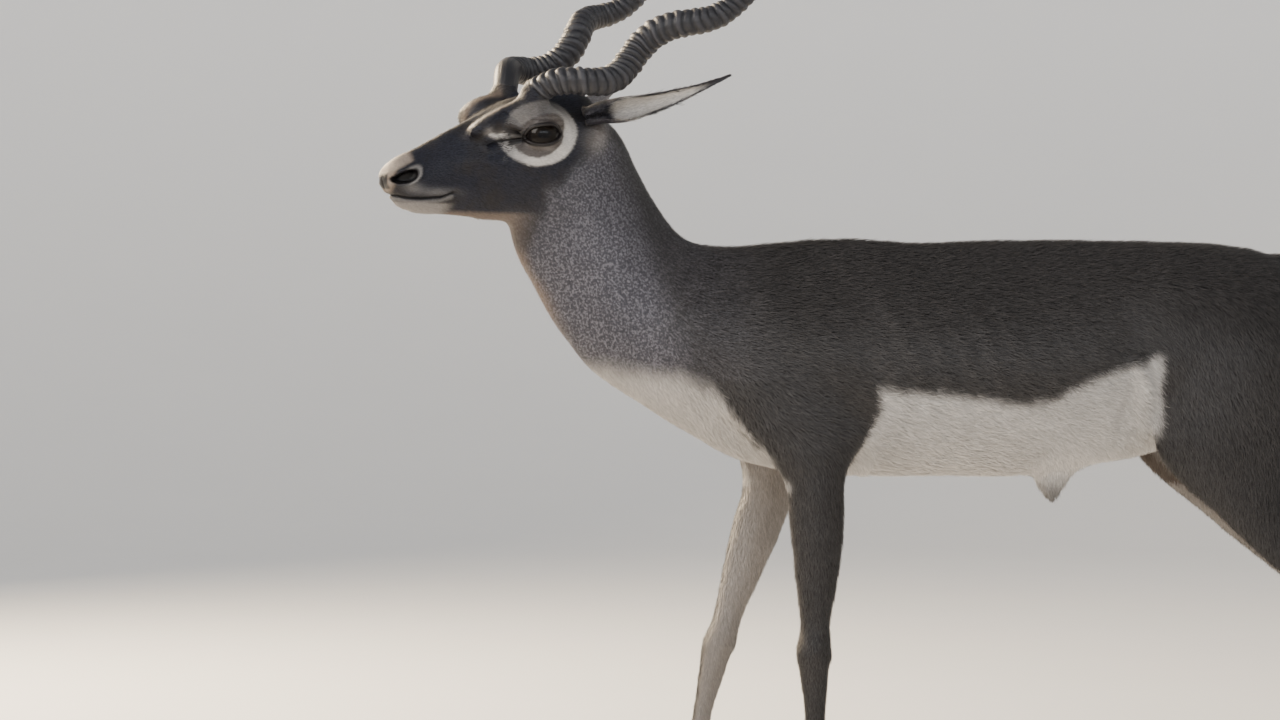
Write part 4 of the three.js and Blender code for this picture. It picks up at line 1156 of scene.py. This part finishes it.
# Lid edge: a thin wet roll round the opening, the front corner drawn out
def lidEdge(name, side):
    t = np.linspace(0, 2 * np.pi, 160, endpoint=False)
    a = eye["halfLength"] * np.cos(t)
    high = np.sin(t) > 0
    b = lidHeight(a, high) * np.where(high, 1, -1)
    drawn = np.exp(-(((t - np.pi) / 0.22) ** 2))
    a = a - drawn * eye["tearLength"] * 0.75
    b = b - drawn * 0.5
    out, back, up = eyeFrame(side)
    ra, rb = a / eye["radius"], b / eye["radius"]
    direction = (np.cos(rb) * np.cos(ra))[:, None] * out + (np.cos(rb) * np.sin(ra))[:, None] * back
    direction = direction + np.sin(rb)[:, None] * up
    centre = mirrored(eye["centre"], side)
    path = centre + direction * (eye["radius"] + eye["edgeOver"])
    tangent = unit(np.roll(path, -1, 0) - np.roll(path, 1, 0))
    sideways = unit(np.cross(tangent, direction))
    q = np.linspace(0, 2 * np.pi, 12, endpoint=False)[None, :, None]
    thick = eye["edgeThick"] + 0.35 * high * np.sin(t)
    ring = path[:, None] + (np.cos(q) * direction[:, None] * 1.25
                            + np.sin(q) * sideways[:, None]) * thick[:, None, None]
    return solid(name, fromHead(ring), gridFaces(*ring.shape[:2], closedRows=True).tolist())


# Ear: a cup that opens along its length, drawn to a point. Across it runs round
# centre + across * sin(a) r + opens * (r - cos(a) r), with the wall's thickness in and out of that
def earFrame(side):
    along = unit(mirrored(ear["along"], side))
    opens = mirrored(ear["opens"], side)
    opens = unit(opens - along * (opens @ along))
    return along, opens, np.cross(along, opens)


def earGrid(side, rings=110, around=72):
    along, opens, across = earFrame(side)
    rows = np.array(ear["rows"], float)
    t = np.linspace(rows[0, 0], rows[-1, 0], rings)
    v = smoothCurve(rows[:, 0], rows[:, 1:], t)
    half, spread = v[:, 0][:, None], np.radians(v[:, 1])[:, None]
    radius = half / np.sin(np.minimum(spread, np.pi / 2))
    q = np.linspace(0, 2 * np.pi, around, endpoint=False)[None]
    a = spread * np.cos(q)
    thick = ear["wall"] / 2 * np.sign(np.sin(q)) * np.abs(np.sin(q)) ** 0.45
    thick = thick * (1 - 0.6 * smoothstep(0.5, 1, t)[:, None])
    r = radius + thick
    wave = 0.5 * np.sin(t * 19)[:, None] * np.abs(np.cos(q)) ** 4 * smoothstep(0, 0.2, t)[:, None]
    bent = opens * ear["bow"] + np.array([0, 0, ear["sag"]])
    middle = (mirrored(ear["root"], side) + along * (ear["length"] * t)[:, None]
              - bent * np.sin(np.pi * np.clip(t, 0, 1))[:, None])
    p = (middle[:, None] + across * (np.sin(a) * r)[..., None]
         + opens * (radius - np.cos(a) * r + wave)[..., None])
    return p, t, q, a


def earPiece(name, side):
    p, t, q, a = earGrid(side)
    made = loft(name, fromHead(p))
    setValues(made.data, "inside", smoothstep(0.25, -0.25, np.sin(q)) + 0 * a)
    setValues(made.data, "edge", smoothstep(0.78, 0.97, np.abs(np.cos(q))) + 0 * a)
    setValues(made.data, "reach", t[:, None] + 0 * a)
    return made


earHair = {
    "tufts": 15000, "seed": 31, "lift": 0.16, "jitter": 0.2,
    "innerLength": 8, "outerLength": 5.5, "innerWidth": 0.7, "outerWidth": 0.6,
}


def valuesOf(mesh, name):
    flat = np.empty(len(mesh.vertices))
    mesh.attributes[name].data.foreach_get("value", flat)
    return flat


def earCoat(made, side, rng):
    mesh = made.data
    points, normals = pointsOf(mesh) / mm - shift, normalsOf(mesh)
    read = [valuesOf(mesh, key) for key in ("inside", "edge", "reach")]
    triangles = trianglesOf(mesh)
    triangles = triangles[read[2][triangles].mean(1) < 0.985]
    close = 1 + 0.8 * read[1]
    roots, up, (inside, edge, reach) = scattered(
        points, normals, triangles, close, earHair["tufts"], rng, read)
    along, _, _ = earFrame(side)
    way = along @ headRotation.T + 0 * roots
    way = unit(way - up * (way * up).sum(1, keepdims=True))
    inner = inside > 0.5
    length = np.where(inner, earHair["innerLength"] + 3 * edge * (reach < 0.6), earHair["outerLength"])
    length = length * (1 - 0.55 * smoothstep(0.6, 1, reach))
    width = np.where(inner, earHair["innerWidth"], earHair["outerWidth"])
    tipDark = smoothstep(0.66, 0.84, reach + 0.1 * edge)
    rim = smoothstep(0.45, 0.9, edge) * smoothstep(0.2, 0.36, reach)
    rootDark = smoothstep(0.1, 0.03, reach)
    pale = np.where(inner, (1 - tipDark) * (1 - 0.95 * rim), 0.12 * (1 - tipDark)) * (1 - rootDark)
    dark = np.maximum.reduce([tipDark, rim, rootDark])
    values = {"pale": pale * 0.9, "tan": 0 * pale, "face": dark * 0.7,
              "grizzle": np.where(inner, 0.6, 0.75) * (1 - tipDark), "bare": 0 * pale}
    uv = np.stack([0.3 + 0.3 * inside + 0.1 * edge, 0.1 + 0.8 * reach], 1)
    return tuftPiece(made.name + "_hair", roots, up, way, length, width, values, uv, rng,
                     earHair["lift"], earHair["jitter"])


# Horn: rings along its cork-screw path, whose radius is the horn's own plus the ridges
def hornPiece(name, side, rings=820, around=56):
    s = np.linspace(-horn["sunk"], horn["length"], rings)
    path, up, _ = hornPath(side, s)
    arc = np.concatenate([[0], np.cumsum(np.linalg.norm(np.diff(path, axis=0), axis=1))])[:, None]
    a = np.linspace(0, 2 * np.pi, around, endpoint=False)[None]
    s = s[:, None]
    t = np.clip(s / horn["length"], 0, 1)
    # the ridges stand a little aslant and wander, and die out towards the smooth tip
    slant = 1.5 * np.cos(a - 0.6) + 0.9 * np.sin(2 * a + s * 0.021) + 0.5 * np.sin(3 * a + s * 0.05)
    wave = (arc * (1 - 0.05 * t) + slant * 1.6) / horn["ringStep"]
    crest = 1 - np.abs(np.sin(np.pi * wave)) ** 3.4
    uneven = 0.78 + 0.22 * np.sin(np.floor(wave + 0.5) * 2.4 + 1)
    fade = smoothstep(0.88, 0.7, t) * smoothstep(-3, 9, s - horn["smoothBase"][side])
    strength = crest * uneven * fade * (1 + 0.25 * np.cos(a - 1.2))
    # tip + (own - tip + more * exp(-((s - at) / reach)^2)) * (1 - t^3)
    thick = horn["thickest"]
    swelling = thick["more"] * np.exp(-(((s - thick["at"]) / thick["reach"]) ** 2))
    radius = horn["tipRadius"] + (horn["radius"] - horn["tipRadius"] + swelling) * (1 - t**3)
    radius = np.where(t >= 1, horn["tipRadius"] * 0.7, radius) - 1.2 * np.exp(-((s / 26) ** 2))
    r = radius + horn["ringHeight"] * (strength - 0.4 * fade) * (0.45 + 0.55 * (1 - t))
    r = r + 0.14 * np.sin(17 * a + 3 * np.sin(s * 0.03)) * (1 - 0.6 * strength) * radius / horn["radius"]
    made = loft(name, fromHead(ringsAlong(path, up, r, around)))
    setValues(made.data, "ridge", strength)
    setValues(made.data, "reach", t + 0 * a)
    grain = np.stack([np.cos(a) * radius, np.sin(a) * radius, s * 0.12 + 0 * a], -1) * mm
    made.data.attributes.new("grain", "FLOAT_VECTOR", "POINT").data.foreach_set(
        "vector", grain.reshape(-1, 3).astype(np.float32).ravel())
    return made


hoof = {
    "clawOut": 9.3, "dewclawOut": 9.0,    # how far each stands from the leg's middle plane
    # along the dewclaw, from its root down: x, z and half-width
    "dewclaw": [(-6, 7, 5.6), (-2, 4, 5.8), (0.8, 1, 5.2), (2, -2, 3.8), (2.4, -4.4, 1.0)],
}


# Hoof: each claw is a pointed wedge, its front wall straight, its sole flat, its top under the hair
def clawPiece(name, rows, side, inwards):
    front, back, out = rows[-1, 0:2], rows[-1, 2:4], rows[-1, 4]

    def section(topX, topZ, bottomX, bottomZ, width):
        return (topX, topZ, bottomX, bottomZ, out, width * 0.25, width * 0.9, width * 1.2, width * 0.9, 0)

    sections = [
        section(front[0] - 14.2, 0, back[0] + 0.4, 0, 8.2),
        section(front[0] - 15.0, 1.2, back[0] + 1.2, 1.0, 8.7),
        section(front[0] - 12.2, 11, back[0] + 2, 9, 8.8),
        section(front[0] - 4.2, 33, back[0] + 1, 24, 8.5),
        section(front[0] + 1.5, front[1] - 2, back[0] - 1, back[1] - 2, 7.6),
    ]
    grid = tube(sections, 0.8, 48, side)
    grid[:, :, 1] -= side * inwards * hoof["clawOut"]
    # shallow growth rings round the wall
    middle = grid.mean(1, keepdims=True)
    z = grid[..., 2:3]
    grow = 1 + 0.004 * np.sin(z * 1.9 + 1.4 * np.sin(z * 0.43)) * smoothstep(0.5, 3, z)
    grid[..., :2] = middle[..., :2] + (grid[..., :2] - middle[..., :2]) * grow
    grid[..., 2] = np.maximum(grid[..., 2], 0)
    grid[0, :, 2] = 0
    return loft(name, grid)


def dewclawPiece(name, rows, side, inwards):
    fetlock = rows[-3]
    x, z = fetlock[2] - 4, fetlock[3] - 12
    y = fetlock[4] * side - side * inwards * hoof["dewclawOut"]
    line = smoothCurve(np.arange(5.0), np.array(hoof["dewclaw"]), np.linspace(0, 4, 26))
    a = np.linspace(0, 2 * np.pi, 28, endpoint=False)[None]
    r = np.maximum(line[:, 2:3], 0.3)
    grid = np.stack([x + line[:, 0:1] + np.cos(a) * r, y + np.sin(a) * r * 1.05,
                     z + line[:, 1:2] + np.cos(a) * r * -0.35], -1)
    return loft(name, grid)


print("eyes, ears, horns, hooves")
earRng = np.random.default_rng(earHair["seed"])
pieces = {"eye": [], "lid": [], "ear": [], "earHair": [], "horn": [], "hoof": []}
for sideName, side in sides.items():
    ball = eyePiece(f"eyeball_{sideName}", side)
    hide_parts(f"eye_{sideName}")
    pieces["eye"].append(ball)
    pieces["lid"].append(lidEdge(f"lid_edge_{sideName}", side))
    shell = earPiece(f"ear_shell_{sideName}", side)
    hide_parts(f"ear_{sideName}")
    pieces["ear"].append(shell)
    pieces["earHair"].append(earCoat(shell, side, earRng))
    ringed = hornPiece(f"ringed_horn_{sideName}", side)
    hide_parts(f"horn_{sideName}")
    pieces["horn"].append(ringed)
    for kind in ("fore", "hind"):
        rows = legRows[kind, side]
        for part, inwards in (("inner", 1), ("outer", -1)):
            claw = clawPiece(f"{kind}_hoof_{part}_{sideName}", rows, side, inwards)
            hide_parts(f"{kind}_claw_{part}_{sideName}")
            pieces["hoof"].append(claw)
            pieces["hoof"].append(dewclawPiece(f"{kind}_dewclaw_{part}_{sideName}", rows, side, inwards))


# Node helpers: node(tree, kind, inputs, settings) adds one node and fills its sockets
def node(tree, kind, inputs=None, **settings):
    made = tree.nodes.new(kind)
    for key, value in settings.items():
        setattr(made, key, value)
    for key, value in (inputs or {}).items():
        if isinstance(value, bpy.types.NodeSocket):
            tree.links.new(value, made.inputs[key])
        else:
            made.inputs[key].default_value = value
    return made


def attribute(tree, name, output="Fac"):
    return node(tree, "ShaderNodeAttribute", attribute_name=name).outputs[output]


def objectPlace(tree):
    return node(tree, "ShaderNodeTexCoord").outputs["Object"]


def mix(tree, share, a, b, blend="MIX"):
    inputs = {0: share, 6: a, 7: b}
    return node(tree, "ShaderNodeMix", inputs, data_type="RGBA", blend_type=blend).outputs[2]


def reckon(tree, operation, *values, clamp=False):
    inputs = dict(enumerate(values))
    return node(tree, "ShaderNodeMath", inputs, operation=operation, use_clamp=clamp).outputs[0]


def scaled(tree, value, factor, more, clamp=False):
    # value * factor + more
    return reckon(tree, "MULTIPLY_ADD", value, factor, more, clamp=clamp)


def noise(tree, scale, detail=3, where=None, rough=0.55):
    inputs = {"Scale": scale, "Detail": detail, "Roughness": rough, "Vector": where or objectPlace(tree)}
    return node(tree, "ShaderNodeTexNoise", inputs).outputs["Fac"]


def paint(tree, shader, **values):
    # links each value to the shader's socket of that name
    for name, value in values.items():
        tree.links.new(value, shader.inputs[name.replace("_", " ")])


def colour(r, g, b):
    return (r, g, b, 1)


hairColours = {
    "Body": colour(0.021, 0.0195, 0.0195), "Body Tip": colour(0.045, 0.041, 0.040),
    # Face and Face Tip are tinted blue: a painted sky sheen on the black face hair
    "Face": colour(0.0055, 0.006, 0.0115), "Face Tip": colour(0.015, 0.0168, 0.030),
    "Face Warm": colour(0.019, 0.0155, 0.0125),
    "Neck": colour(0.060, 0.058, 0.070), "Neck Tip": colour(0.25, 0.24, 0.27),
    # Tan and Pale also paint warm rim light on the nose, brow ridge, jaw, chin and throat
    "Tan": colour(0.29, 0.19, 0.115), "Pale": colour(0.64, 0.615, 0.585),
    "Bare": colour(0.008, 0.007, 0.0075),
}


# Coat colour from the share of each kind of hair, lighter towards the tip, uneven from tuft to tuft
def coatColourGroup():
    group = bpy.data.node_groups.new("coatColour", "ShaderNodeTree")
    sockets = group.interface
    for name, value in hairColours.items():
        sockets.new_socket(name, in_out="INPUT", socket_type="NodeSocketColor").default_value = value
    sockets.new_socket("Tip", in_out="INPUT", socket_type="NodeSocketFloat").default_value = 0
    sockets.new_socket("Tone", in_out="INPUT", socket_type="NodeSocketFloat").default_value = 0.5
    sockets.new_socket("Color", in_out="OUTPUT", socket_type="NodeSocketColor")
    sockets.new_socket("Bare Mask", in_out="OUTPUT", socket_type="NodeSocketFloat")
    given = node(group, "NodeGroupInput").outputs
    share = {key: attribute(group, key) for key in ("pale", "tan", "face", "grizzle", "bare")}
    light = reckon(group, "MULTIPLY", given["Tip"], scaled(group, given["Tone"], 1.1, 0.5))
    body = mix(group, light, given["Body"], given["Body Tip"])
    speckle = scaled(group, noise(group, 360, 1), 6.5, -2.85, clamp=True)
    tip = scaled(group, given["Tip"], 0.9, 0.1, clamp=True)
    flecked = reckon(group, "MULTIPLY", tip, speckle)
    neck = mix(group, flecked, given["Neck"], given["Neck Tip"])
    dark = mix(group, light, given["Face"], given["Face Tip"])
    warm = scaled(group, noise(group, 30, 4), 3.2, -1.5, clamp=True)
    dark = mix(group, warm, dark, given["Face Warm"])
    result = mix(group, share["grizzle"], body, neck)
    result = mix(group, share["face"], result, dark)
    result = mix(group, share["tan"], result, given["Tan"])
    result = mix(group, share["pale"], result, given["Pale"])
    patchy = scaled(group, noise(group, 9, 4), 0.5, 0.75)
    tuftTone = scaled(group, given["Tone"], 0.5, 0.75)
    shade = reckon(group, "MULTIPLY", patchy, tuftTone)
    grey = node(group, "ShaderNodeCombineColor", {0: shade, 1: shade, 2: shade}).outputs[0]
    result = mix(group, 1.0, result, grey, "MULTIPLY")
    result = mix(group, share["bare"], result, given["Bare"])
    out = node(group, "NodeGroupOutput")
    group.links.new(result, out.inputs["Color"])
    group.links.new(share["bare"], out.inputs["Bare Mask"])
    return group


# Fine grain: two sizes of noise as a height
def grainGroup():
    group = bpy.data.node_groups.new("fineGrain", "ShaderNodeTree")
    sockets = group.interface
    sockets.new_socket("Vector", in_out="INPUT", socket_type="NodeSocketVector")
    sockets.new_socket("Scale", in_out="INPUT", socket_type="NodeSocketFloat").default_value = 400
    sockets.new_socket("Height", in_out="OUTPUT", socket_type="NodeSocketFloat")
    given = node(group, "NodeGroupInput").outputs
    coarse = noise(group, given["Scale"], 3, given["Vector"])
    fine = noise(group, reckon(group, "MULTIPLY", given["Scale"], 3.1), 2, given["Vector"])
    height = scaled(group, fine, 0.45, coarse)
    out = node(group, "NodeGroupOutput")
    group.links.new(height, out.inputs["Height"])
    return group


coatColour, fineGrain = coatColourGroup(), grainGroup()


def newMaterial(name, **fixed):
    made = bpy.data.materials.new(name)
    made.use_nodes = True
    tree = made.node_tree
    shader = tree.nodes["Principled BSDF"]
    for key, value in fixed.items():
        shader.inputs[key.replace("_", " ")].default_value = value
    return made, tree, shader


def bump(tree, shader, height, strength, distance):
    inputs = {"Strength": strength, "Distance": distance, "Height": height}
    paint(tree, shader, Normal=node(tree, "ShaderNodeBump", inputs).outputs[0])


def grained(tree, shader, scale, strength, distance, where=None):
    inputs = {"Scale": scale, "Vector": where or objectPlace(tree)}
    height = node(tree, "ShaderNodeGroup", inputs, node_tree=fineGrain).outputs["Height"]
    bump(tree, shader, height, strength, distance)
    return height


def coatMaterial(name, onTufts):
    made, tree, shader = newMaterial(name, Roughness=0.5, Specular_IOR_Level=0.35 if onTufts else 0.3)
    if onTufts:
        inputs = {"Tip": attribute(tree, "along"), "Tone": attribute(tree, "tone")}
    else:
        inputs = {"Tone": noise(tree, 700, 2)}
    tint = node(tree, "ShaderNodeGroup", inputs, node_tree=coatColour)
    paint(tree, shader, Base_Color=tint.outputs["Color"])
    if not onTufts:
        paint(tree, shader, Roughness=scaled(tree, tint.outputs["Bare Mask"], -0.42, 0.72))
        grained(tree, shader, 650, 0.5, 0.0006)
    return made


def hornMaterial():
    made, tree, shader = newMaterial("hornSheath", Specular_IOR_Level=0.45)
    grain = attribute(tree, "grain", "Vector")
    streaks = noise(tree, 420, 5, grain, 0.6)
    blotch = noise(tree, 60, 3)
    # the lighter colour on the ridges' crests is a painted highlight, streaked as worn horn is, and the
    # darker colour between them is painted shade in the grooves
    dark = mix(tree, streaks, colour(0.004, 0.004, 0.0055), colour(0.015, 0.015, 0.020))
    light = mix(tree, blotch, colour(0.020, 0.020, 0.026), colour(0.050, 0.050, 0.058))
    ridge = reckon(tree, "POWER", attribute(tree, "ridge"), 2.2)
    litAndWornCrest = reckon(tree, "MULTIPLY", ridge, scaled(tree, streaks, 1.1, 0.05))
    base = mix(tree, litAndWornCrest, dark, light)
    tip = mix(tree, streaks, colour(0.012, 0.011, 0.011), colour(0.03, 0.027, 0.026))
    far = scaled(tree, attribute(tree, "reach"), 3.2, -2.3, clamp=True)
    base = mix(tree, far, base, tip)
    paint(tree, shader, Base_Color=base, Roughness=scaled(tree, streaks, 0.3, 0.34))
    grained(tree, shader, 520, 0.55, 0.0005, grain)
    return made


def hoofMaterial():
    made, tree, shader = newMaterial("hoofHorn", Specular_IOR_Level=0.45)
    place = objectPlace(tree)
    long = node(tree, "ShaderNodeMapping", {"Vector": place, "Scale": (1, 1, 0.12)}).outputs[0]
    flat = node(tree, "ShaderNodeMapping", {"Vector": place, "Scale": (0.15, 0.15, 1)}).outputs[0]
    streak, rings = noise(tree, 900, 4, long), noise(tree, 420, 3, flat)
    base = mix(tree, streak, colour(0.008, 0.007, 0.007), colour(0.030, 0.025, 0.022))
    base = mix(tree, reckon(tree, "MULTIPLY", rings, 0.25), base, colour(0.05, 0.042, 0.036))
    low = node(tree, "ShaderNodeSeparateXYZ", {0: place}).outputs[2]
    dust = scaled(tree, low, -60, 0.7, clamp=True)
    base = mix(tree, reckon(tree, "MULTIPLY", dust, 0.3), base, colour(0.16, 0.13, 0.1))
    paint(tree, shader, Base_Color=base, Roughness=scaled(tree, streak, 0.25, 0.36))
    bump(tree, shader, scaled(tree, streak, 0.5, rings), 0.5, 0.0006)
    return made


def eyeMaterial():
    made, tree, shader = newMaterial("wetEye", Roughness=0.3, Coat_Weight=0.22, Coat_Roughness=0.03,
                                     Specular_IOR_Level=0.05)
    inputs = {"Scale": 14.0, "W": attribute(tree, "spoke"), "Detail": 3.0}
    rays = node(tree, "ShaderNodeTexNoise", inputs, noise_dimensions="1D")
    iris = mix(tree, rays.outputs["Fac"], colour(0.0025, 0.0018, 0.0014), colour(0.008, 0.005, 0.003))
    white = mix(tree, noise(tree, 300, 3), colour(0.004, 0.0035, 0.0035), colour(0.010, 0.008, 0.008))
    base = mix(tree, attribute(tree, "iris"), white, iris)
    base = mix(tree, attribute(tree, "pupil"), base, colour(0.002, 0.002, 0.003))
    paint(tree, shader, Base_Color=base)
    return made


def lidMaterial():
    made, tree, shader = newMaterial("wetLid", Coat_Weight=0.1, Coat_Roughness=0.25,
                                     Specular_IOR_Level=0.25)
    height = grained(tree, shader, 900, 0.35, 0.0003)
    base = mix(tree, height, colour(0.005, 0.0045, 0.0045), colour(0.014, 0.011, 0.011))
    paint(tree, shader, Base_Color=base, Roughness=scaled(tree, height, 0.2, 0.2))
    return made


def earMaterial():
    made, tree, shader = newMaterial("earSkin", Specular_IOR_Level=0.3)
    fine = noise(tree, 240, 4)
    outer = mix(tree, fine, colour(0.045, 0.040, 0.040), colour(0.10, 0.092, 0.094))
    inner = mix(tree, fine, colour(0.20, 0.19, 0.22), colour(0.34, 0.33, 0.375))
    base = mix(tree, attribute(tree, "inside"), outer, inner)
    dark = scaled(tree, attribute(tree, "reach"), 5.0, -3.5, clamp=True)
    rim = reckon(tree, "MULTIPLY", attribute(tree, "edge"), 0.85)
    base = mix(tree, reckon(tree, "MAXIMUM", dark, rim), base, colour(0.028, 0.023, 0.021))
    paint(tree, shader, Base_Color=base, Roughness=scaled(tree, fine, 0.2, 0.6))
    grained(tree, shader, 600, 0.4, 0.0005)
    return made


stage = {
    "flat": 5.5, "bend": 4.0, "wall": 9.0, "around": 96, "world": 0.36,
    "glowLow": 0.13, "glowRise": 0.09, "glowHigh": 0.32,
}


def floorMaterial():
    # the wall glows more the higher it is, as if it were lit from above
    made, tree, shader = newMaterial("paleFloor", Roughness=0.9, Emission_Strength=1.0,
                                     Specular_IOR_Level=0.2)
    base = mix(tree, noise(tree, 3, 3), colour(0.74, 0.735, 0.725), colour(0.77, 0.765, 0.755))
    high = node(tree, "ShaderNodeSeparateXYZ", {0: objectPlace(tree)}).outputs[2]
    rising = scaled(tree, high, stage["glowRise"], stage["glowLow"])
    glow = reckon(tree, "MINIMUM", rising, stage["glowHigh"])
    glow = mix(tree, glow, colour(0, 0, 0), colour(0.93, 0.93, 0.94))
    paint(tree, shader, Base_Color=base, Emission_Color=glow)
    return made


print("materials")
skinCoat, hairCoat = coatMaterial("coatSkin", False), coatMaterial("coatHair", True)
finishes = {
    "horn": (hornMaterial(), "horn"), "hoof": (hoofMaterial(), "hoof"), "eye": (eyeMaterial(), "eye"),
    "lid": (lidMaterial(), "coat_dark"), "ear": (earMaterial(), "coat_pale"),
    "earHair": (hairCoat, "coat_pale"),
}


def dress(piece, material, slot):
    piece.data.materials.append(material)
    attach(piece, "root")


dress(skin, skinCoat, "coat_dark")
legNodes = [f"{part}_{name}" for part in ("upper_foreleg", "lower_foreleg", "upper_hindleg",
                                          "lower_hindleg") for name in sides]
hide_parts("head", "neck", "torso", "tail", *legNodes)
for piece in coatPieces:
    dress(piece, hairCoat, "coat_dark")
for kind, made in pieces.items():
    for piece in made:
        dress(piece, *finishes[kind])


# Floor, light and camera
def setStage():
    # a round floor that bends up into a wall: flat to its edge, a quarter circle, then straight
    flat, bend, around = stage["flat"], stage["bend"], stage["around"]
    a = np.linspace(0, np.pi / 2, 24)
    r = np.concatenate([[0.01, 1.5, 3.5], flat + bend * np.sin(a), [flat + bend]])[:, None]
    z = np.concatenate([[0, 0, 0], bend * (1 - np.cos(a)), [stage["wall"]]])[:, None]
    u = np.linspace(0, 2 * np.pi, around, endpoint=False)[None]
    grid = np.stack([r * np.cos(u), r * np.sin(u), z + 0 * u], -1)
    faces = gridFaces(len(r), around).tolist() + [list(range(around - 1, -1, -1))]
    floor = newObject("floor", grid.reshape(-1, 3), faces)
    floor.data.materials.append(floorMaterial())
    world = bpy.data.worlds.new("paleRoom")
    world.use_nodes = True
    background = world.node_tree.nodes["Background"]
    background.inputs["Color"].default_value = colour(0.88, 0.89, 0.9)
    background.inputs["Strength"].default_value = stage["world"]
    bpy.context.scene.world = world


lights = {
    "key": {"place": (-3.0, -1.0, 2.7), "target": (-0.3, 0, 0.7), "size": (1.8, 1.8), "watts": 100,
            "tint": (1.0, 0.94, 0.87)},
    "rim": {"place": (-2.3, 2.4, 2.3), "target": (-0.35, 0, 0.85), "size": (1.2, 1.2), "watts": 430,
            "tint": (1.0, 0.80, 0.55)},
    "fill": {"place": (-0.2, -3.6, 2.7), "target": (-0.3, 0, 0.7), "size": (4.6, 0.7), "watts": 55,
             "tint": (0.86, 0.92, 1.0)},
}
# The camera's place is in the animal's own millimetres, its azimuth in degrees from square on
view = {"place": np.array([-988.9, -3169.5, 624.0]), "azimuth": 11, "lens": 76.57, "sensor": 36}


def facing(way):
    return Vector(way).to_track_quat("-Z", "Y").to_euler()


def softLight(name, place, target, size, watts, tint):
    data = bpy.data.lights.new(name, "AREA")
    data.shape = "RECTANGLE"
    data.size, data.size_y = size
    data.energy = watts
    data.color = tint
    lamp = linked(name, data)
    lamp.location = place
    lamp.rotation_euler = facing(Vector(target) - Vector(place))


def setCamera():
    data = bpy.data.cameras.new("camera")
    data.lens = view["lens"]
    data.sensor_width = view["sensor"]
    camera = linked("camera", data)
    turn = math.radians(view["azimuth"])
    camera.location = intoFrame(view["place"])
    camera.rotation_euler = facing((math.sin(turn), math.cos(turn), 0))
    bpy.context.scene.camera = camera


print("stage")
setStage()
for name, light in lights.items():
    softLight(name, **light)
setCamera()
